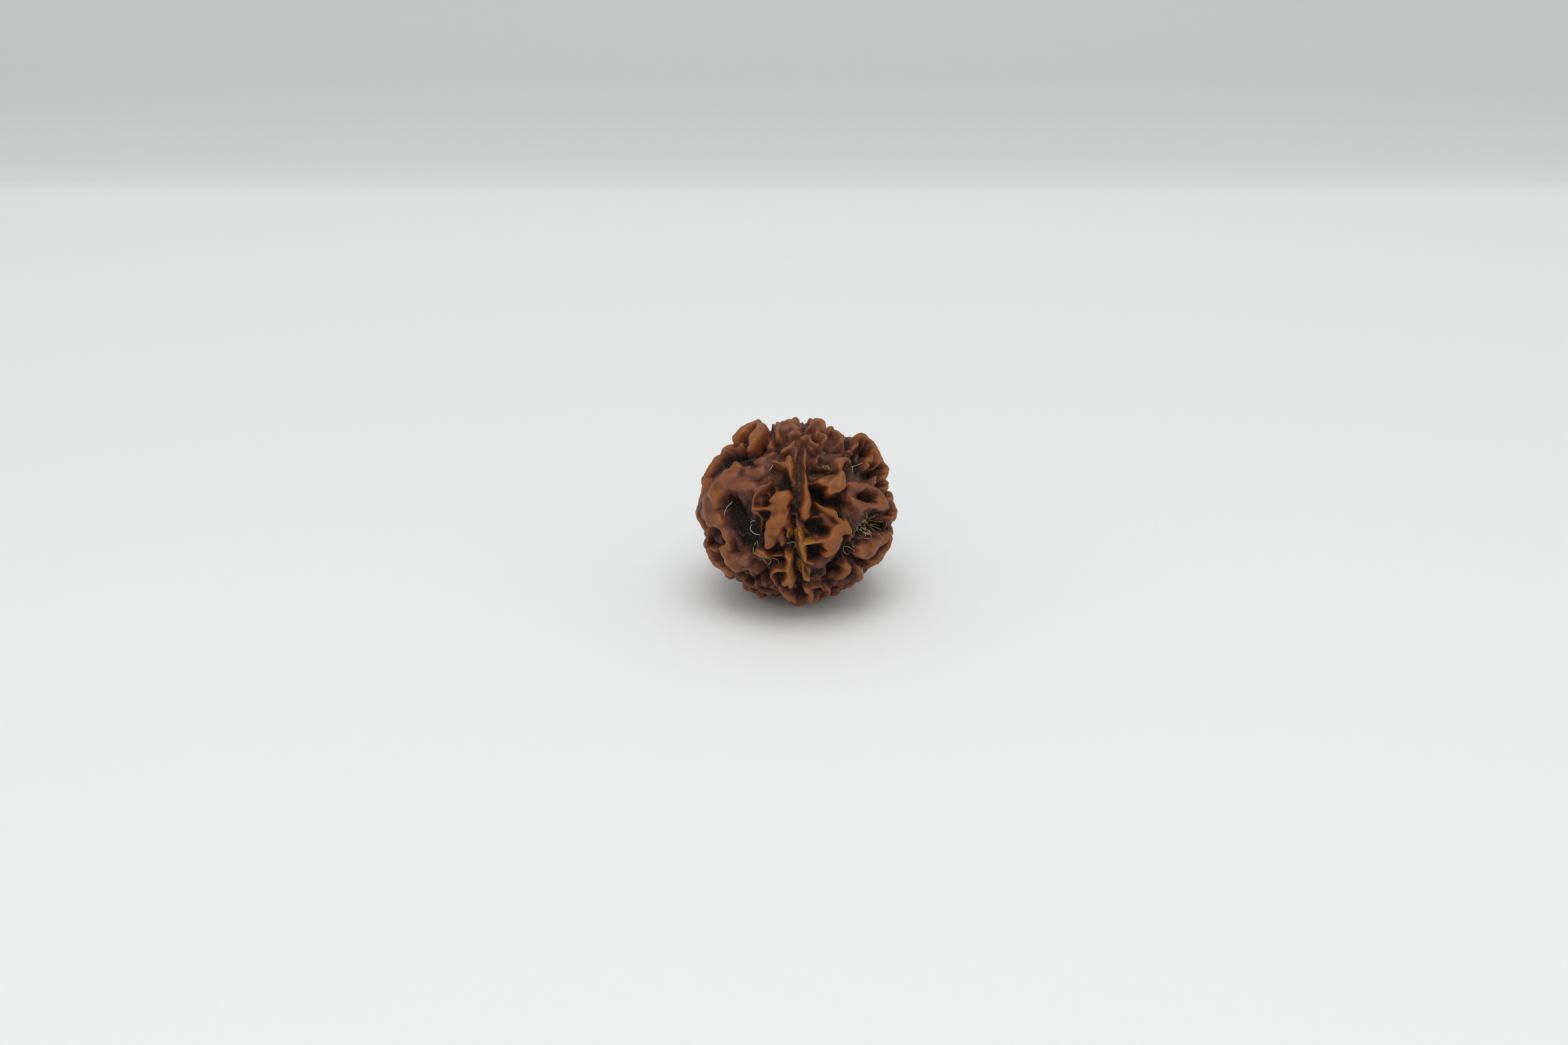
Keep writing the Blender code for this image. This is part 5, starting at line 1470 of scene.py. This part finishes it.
@dataclass
class Strands:
    """Thin strands that lie on the floor and walls of the pits."""

    form: StoneForm
    lie: Lie
    sides: int = 5
    # The height that a strand's place is looked up at
    pit_level: float = -1.8
    # How far round a half turn the thickness starts, and how fast it then grows to the middle
    taper_start: float = 0.35
    taper_power: float = 0.4
    # A direction that no strand runs along, to set each tube's sides by
    upright: tuple = (0.31, 0.27, 0.91)

    def surface_at(self, spots: np.ndarray, lifts: np.ndarray) -> np.ndarray:
        """Points over the pits' floor where the front view shows (right, up), in the stone's frame.

        Args:
            spots: (right, up) of each point.
            lifts: How high each is over the surface.

        Returns:
            The points, one a row.
        """
        crest = np.array([self.form.ball.seen_at(right, up, self.pit_level) for right, up in spots])
        directions = crest / np.linalg.norm(crest, axis=1)[:, None]
        return self.form.surface(directions) + directions * lifts[:, None]

    def hung_at(self, rows: np.ndarray) -> np.ndarray:
        """Points seen at (right, up) in the front view, at a height over the mean crest.

        Args:
            rows: (right, up, height) of each point.

        Returns:
            The points, in the stone's frame.
        """
        crest = np.array([self.form.ball.seen_at(right, up, height) for right, up, height in rows])
        reach = np.linalg.norm(crest, axis=1)
        return crest * ((reach + rows[:, 2]) / reach)[:, None]

    def tube(self, points: np.ndarray, radius: float, start: int) -> tuple[np.ndarray, list]:
        """A thin tube along points, closed by a tip at each end.

        Args:
            points: The strand's points, in millimetres.
            radius: Its radius, in millimetres.
            start: Number that its first vertex gets.

        Returns:
            Its vertices and faces.
        """
        along = np.gradient(points, axis=0)
        along /= np.linalg.norm(along, axis=1)[:, None]
        side = np.cross(along, np.array(self.upright))
        side /= np.linalg.norm(side, axis=1)[:, None]
        other = np.cross(along, side)
        half_turn = np.linspace(self.taper_start, math.pi - self.taper_start, len(points))
        rows = [points[0]]
        for point, a, b, share in zip(points, side, other, np.sin(half_turn) ** self.taper_power):
            for number in range(self.sides):
                turn = 2.0 * math.pi * number / self.sides
                rows.append(point + radius * share * (math.cos(turn) * a + math.sin(turn) * b))
        rows.append(points[-1])
        faces = []
        last_ring = start + 1 + (len(points) - 1) * self.sides
        end_tip = start + len(rows) - 1
        for number in range(self.sides):
            after = (number + 1) % self.sides
            faces.append([start, start + 1 + after, start + 1 + number])
            for ring in range(start + 1, last_ring, self.sides):
                next_ring = ring + self.sides
                faces.append([ring + number, ring + after, next_ring + after, next_ring + number])
            faces.append([end_tip, last_ring + number, last_ring + after])
        return np.array(rows), faces

    def build_strands(
        self, name: str, strands: list[np.ndarray], radius: float, material: bpy.types.Material
    ) -> bpy.types.Object:
        """Joins strands into one piece.

        Args:
            name: Name of the piece.
            strands: Points of each strand, in millimetres.
            radius: Radius of every strand, in millimetres.
            material: Its finish.

        Returns:
            The piece.
        """
        rows, faces, start = [], [], 0
        for strand in strands:
            points, some = self.tube(strand, radius, start)
            rows.append(points)
            faces += some
            start += len(points)
        return add_piece(name, make_mesh(name, self.lie.place(np.concatenate(rows)), faces), material)


@dataclass
class PulpFibres(Strands):
    """Curled wisps of dried pulp, matted in the pits."""

    seed: int = 7
    radius: float = 0.03
    points: int = 12
    step: float = 0.16
    # How far a wisp turns at each step, all the way one way and from step to step, in radians
    curl: float = 0.45
    waver: float = 0.35
    # How high its middle stands over the pit, as a length and shares of it, and how low it has to lie
    lift: float = 0.28
    lift_shares: tuple = (0.2, 1.0)
    highest: float = -0.5
    easings: int = 3
    patches: tuple = (
        Patch(8.6, -2.0, 1.0, 0.9, 30),
        Patch(6.5, -4.2, 0.5, 0.4, 10),
        Patch(-4.2, -5.0, 0.8, 0.3, 8),
        Patch(2.2, 4.3, 0.7, 0.3, 5),
        Patch(6.8, 5.2, 0.5, 0.9, 5),
        Patch(0.1, 5.0, 0.1, 2.0, 4),
        Patch(-0.3, -3.5, 0.12, 2.0, 8),
    )

    def build(self, material: bpy.types.Material) -> bpy.types.Object:
        """Makes the fibres of every patch.

        Args:
            material: Its finish.

        Returns:
            The piece.
        """
        rng = random.Random(self.seed)
        spots, lifts = [], []
        for patch in self.patches:
            for _ in range(patch.count):
                right = patch.right + patch.across * rng.uniform(-1.0, 1.0)
                up = patch.up + patch.along * rng.uniform(-1.0, 1.0)
                heading, curl = rng.uniform(0.0, 2.0 * math.pi), rng.uniform(-self.curl, self.curl)
                top = rng.uniform(*self.lift_shares) * self.lift
                for number in range(self.points):
                    spots.append((right, up))
                    lifts.append(top * math.sin(math.pi * number / (self.points - 1)))
                    heading += curl + rng.uniform(-self.waver, self.waver)
                    right += self.step * math.cos(heading)
                    up += self.step * math.sin(heading)
        places = self.surface_at(np.array(spots), np.array(lifts)).reshape(-1, self.points, 3)
        strands = [self.relaxed(strand) for strand in places if self.lies_low(strand)]
        return self.build_strands("pulp_fibres", strands, self.radius, material)

    def lies_low(self, strand: np.ndarray) -> bool:
        """True for a strand that stays below the crests.

        Args:
            strand: Its points in the stone's frame.

        Returns:
            Whether its highest point lies low enough.
        """
        reach = np.linalg.norm(strand, axis=1)
        height = reach - self.form.ball.mean_crest(strand / reach[:, None])
        return bool(height.max() < self.highest)

    def relaxed(self, strand: np.ndarray) -> np.ndarray:
        """A strand with its sharp bends eased.

        Args:
            strand: Its points.

        Returns:
            The eased points.
        """
        eased = strand.copy()
        for _ in range(self.easings):
            eased[1:-1] = (eased[:-2] + 2.0 * eased[1:-1] + eased[2:]) / 4.0
        return eased


@dataclass
class CottonLint(Strands):
    """A few white hairs of lint, each a bow of (right, up, height over the mean crest) across a pit."""

    radius: float = 0.02
    hairs: tuple = (
        ((-7.65, 1.0, -0.9), (-8.25, 0.4, -0.8), (-8.5, -0.1, -0.8), (-8.6, -0.65, -0.8)),
        ((-5.35, -1.7, -0.7), (-5.55, -2.2, -0.5), (-5.1, -2.75, -0.5), (-4.35, -2.95, -0.4)),
        ((-5.55, -1.5, -0.9), (-5.3, -1.3, -0.8), (-4.9, -1.25, -0.8)),
        ((-3.3, 4.7, -0.5), (-3.0, 5.1, -0.4), (-2.8, 5.6, -0.3)),
    )

    def build(self, material: bpy.types.Material) -> bpy.types.Object:
        """Makes the hairs.

        Args:
            material: Its finish.

        Returns:
            The piece.
        """
        rounded = self.form.ball.rounded
        strands = [self.hung_at(rounded(rounded(hair))) for hair in self.hairs]
        return self.build_strands("cotton_lint", strands, self.radius, material)


@dataclass
class PaleDust:
    """Grains of pale dust that lie in the pits and on the flanks."""

    seed: int = 5
    count: int = 900
    smallest: float = 0.02
    largest: float = 0.05
    # The rise up to which grains lie, and the shortest corner of a grain as a share of its size
    highest_rise: float = 0.52
    shortest_corner: float = 0.6

    def build(self, stone: bpy.types.Object, material: bpy.types.Material) -> bpy.types.Object:
        """Makes the grains, each a small octahedron sunk a little into the stone's surface.

        Args:
            stone: The stone's piece, whose vertices carry the grains.
            material: Its finish.

        Returns:
            The piece.
        """
        rng = random.Random(self.seed)
        rise = np.zeros(len(stone.data.vertices), np.float32)
        stone.data.attributes["rise"].data.foreach_get("value", rise)
        low = np.flatnonzero(rise < self.highest_rise).tolist()
        rows, faces = [], []
        for number in rng.sample(low, self.count):
            vertex = stone.data.vertices[number]
            size = rng.uniform(self.smallest, self.largest) * MM
            turn = Matrix.Rotation(rng.uniform(0.0, math.pi), 3, vertex.normal)
            start = len(rows)
            for axis in range(3):
                for side in (-1, 1):
                    corner = Vector((0.0, 0.0, 0.0))
                    corner[axis] = side * size * rng.uniform(self.shortest_corner, 1.0)
                    rows.append(vertex.co + turn @ corner)
            for a in (0, 1):
                for b in (2, 3):
                    for c in (4, 5):
                        order = [a, b, c] if (a + b + c) % 2 else [a, c, b]
                        faces.append([start + corner for corner in order])
        return add_piece("pale_dust", make_mesh("pale_dust", np.array(rows), faces), material)


@dataclass(frozen=True)
class Lamp:
    """A square soft light that looks at the stone: its place and side in millimetres, and its power."""

    name: str
    place: tuple
    side: float
    watts: float
    colour: str


@dataclass
class Studio:
    """A pale floor that sweeps up behind the stone, soft light from above, and the camera."""

    middle: Vector
    view_elevation: float
    view_distance: float
    # The camera's lens and sensor, and how far the picture's middle lies left of and below the stone's
    lens: float = 64.9
    sensor_width: float = 36.0
    frame_right: float = 1.5
    frame_up: float = 1.42
    # The floor, and the sweep of sheet behind it
    floor_half_width: float = 900.0
    floor_front: float = -700.0
    sweep_start: float = 165.0
    sweep_radius: float = 70.0
    sweep_steps: int = 24
    wall_height: float = 700.0
    lamps: tuple = (
        Lamp("overhead", (20.0, -180.0, 620.0), 480.0, 1.8, "#fdfdff"),
        Lamp("front", (-100.0, -640.0, 460.0), 600.0, 0.85, "#ffffff"),
    )
    surroundings: str = "#f6f6f4"
    surroundings_strength: float = 0.66

    def floor(self, material: bpy.types.Material) -> None:
        """Makes the floor and the wall behind it as one bent sheet.

        Args:
            material: Its finish.
        """
        profile = [(self.floor_front, 0.0)]
        for number in range(self.sweep_steps + 1):
            turn = 0.5 * math.pi * number / self.sweep_steps
            back = self.sweep_start + self.sweep_radius * math.sin(turn)
            profile.append((back, self.sweep_radius * (1.0 - math.cos(turn))))
        profile.append((profile[-1][0], self.wall_height))
        rows = [
            (side * self.floor_half_width * MM, y * MM, z * MM) for y, z in profile for side in (-1, 1)
        ]
        faces = [[2 * n, 2 * n + 1, 2 * n + 3, 2 * n + 2] for n in range(len(profile) - 1)]
        mesh = bpy.data.meshes.new("floor")
        mesh.from_pydata(rows, [], faces)
        mesh.shade_smooth()
        mesh.materials.append(material)
        floor = bpy.data.objects.new("floor", mesh)
        bpy.context.scene.collection.objects.link(floor)

    def light_up(self) -> None:
        """Sets the soft light from above and the pale surroundings."""
        for lamp in self.lamps:
            light = bpy.data.lights.new(lamp.name, "AREA")
            light.size = lamp.side * MM
            light.energy = lamp.watts
            light.color = linear(lamp.colour)[:3]
            hung = bpy.data.objects.new(lamp.name, light)
            hung.location = Vector(lamp.place) * MM
            hung.rotation_euler = (self.middle - hung.location).to_track_quat("-Z", "Y").to_euler()
            bpy.context.scene.collection.objects.link(hung)
        world = bpy.data.worlds.new("pale surroundings")
        world.use_nodes = True
        background = world.node_tree.nodes["Background"]
        background.inputs["Color"].default_value = linear(self.surroundings)
        background.inputs["Strength"].default_value = self.surroundings_strength
        bpy.context.scene.world = world
        bpy.context.scene.view_settings.view_transform = "Standard"

    def camera(self) -> None:
        """Places the camera level with the stone's middle, square to its leaned axis."""
        turn = Matrix.Rotation(math.pi / 2.0 - self.view_elevation, 4, "X")
        data = bpy.data.cameras.new("camera")
        data.lens = self.lens
        data.sensor_width = self.sensor_width
        camera = bpy.data.objects.new("camera", data)
        offset = Vector((-self.frame_right, -self.frame_up, self.view_distance)) * MM
        camera.matrix_world = Matrix.Translation(self.middle + turn.to_3x3() @ offset) @ turn
        bpy.context.scene.collection.objects.link(camera)
        bpy.context.scene.camera = camera


def main() -> None:
    """Builds the seed and its studio, and reports each piece."""
    logging.basicConfig(level=logging.INFO, format="%(name)s: %(message)s")
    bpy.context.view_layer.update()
    ball = SquatBall()
    form = StoneForm(ball, HiddenSides(ball))
    lie = Lie()
    stone = Stone(form, lie).build(OiledStoneWood().build())
    fibre = PlainFinish("dry pulp fibre", "#ac8a56", "#e2c998", 0.8, 0.3)
    PulpFibres(form, lie).build(fibre.build())
    CottonLint(form, lie).build(PlainFinish("cotton lint", "#c9ccce", "#eceeee", 0.7, 0.4).build())
    PaleDust().build(stone, PlainFinish("pale dust", "#8f8b80", "#d2cfc6", 0.9, 0.3).build())

    studio = Studio(Vector(lie.middle) * MM, lie.lean_back, ball.view_distance)
    studio.floor(MattePaper().build())
    studio.light_up()
    studio.camera()


if __name__ == "__main__":
    main()
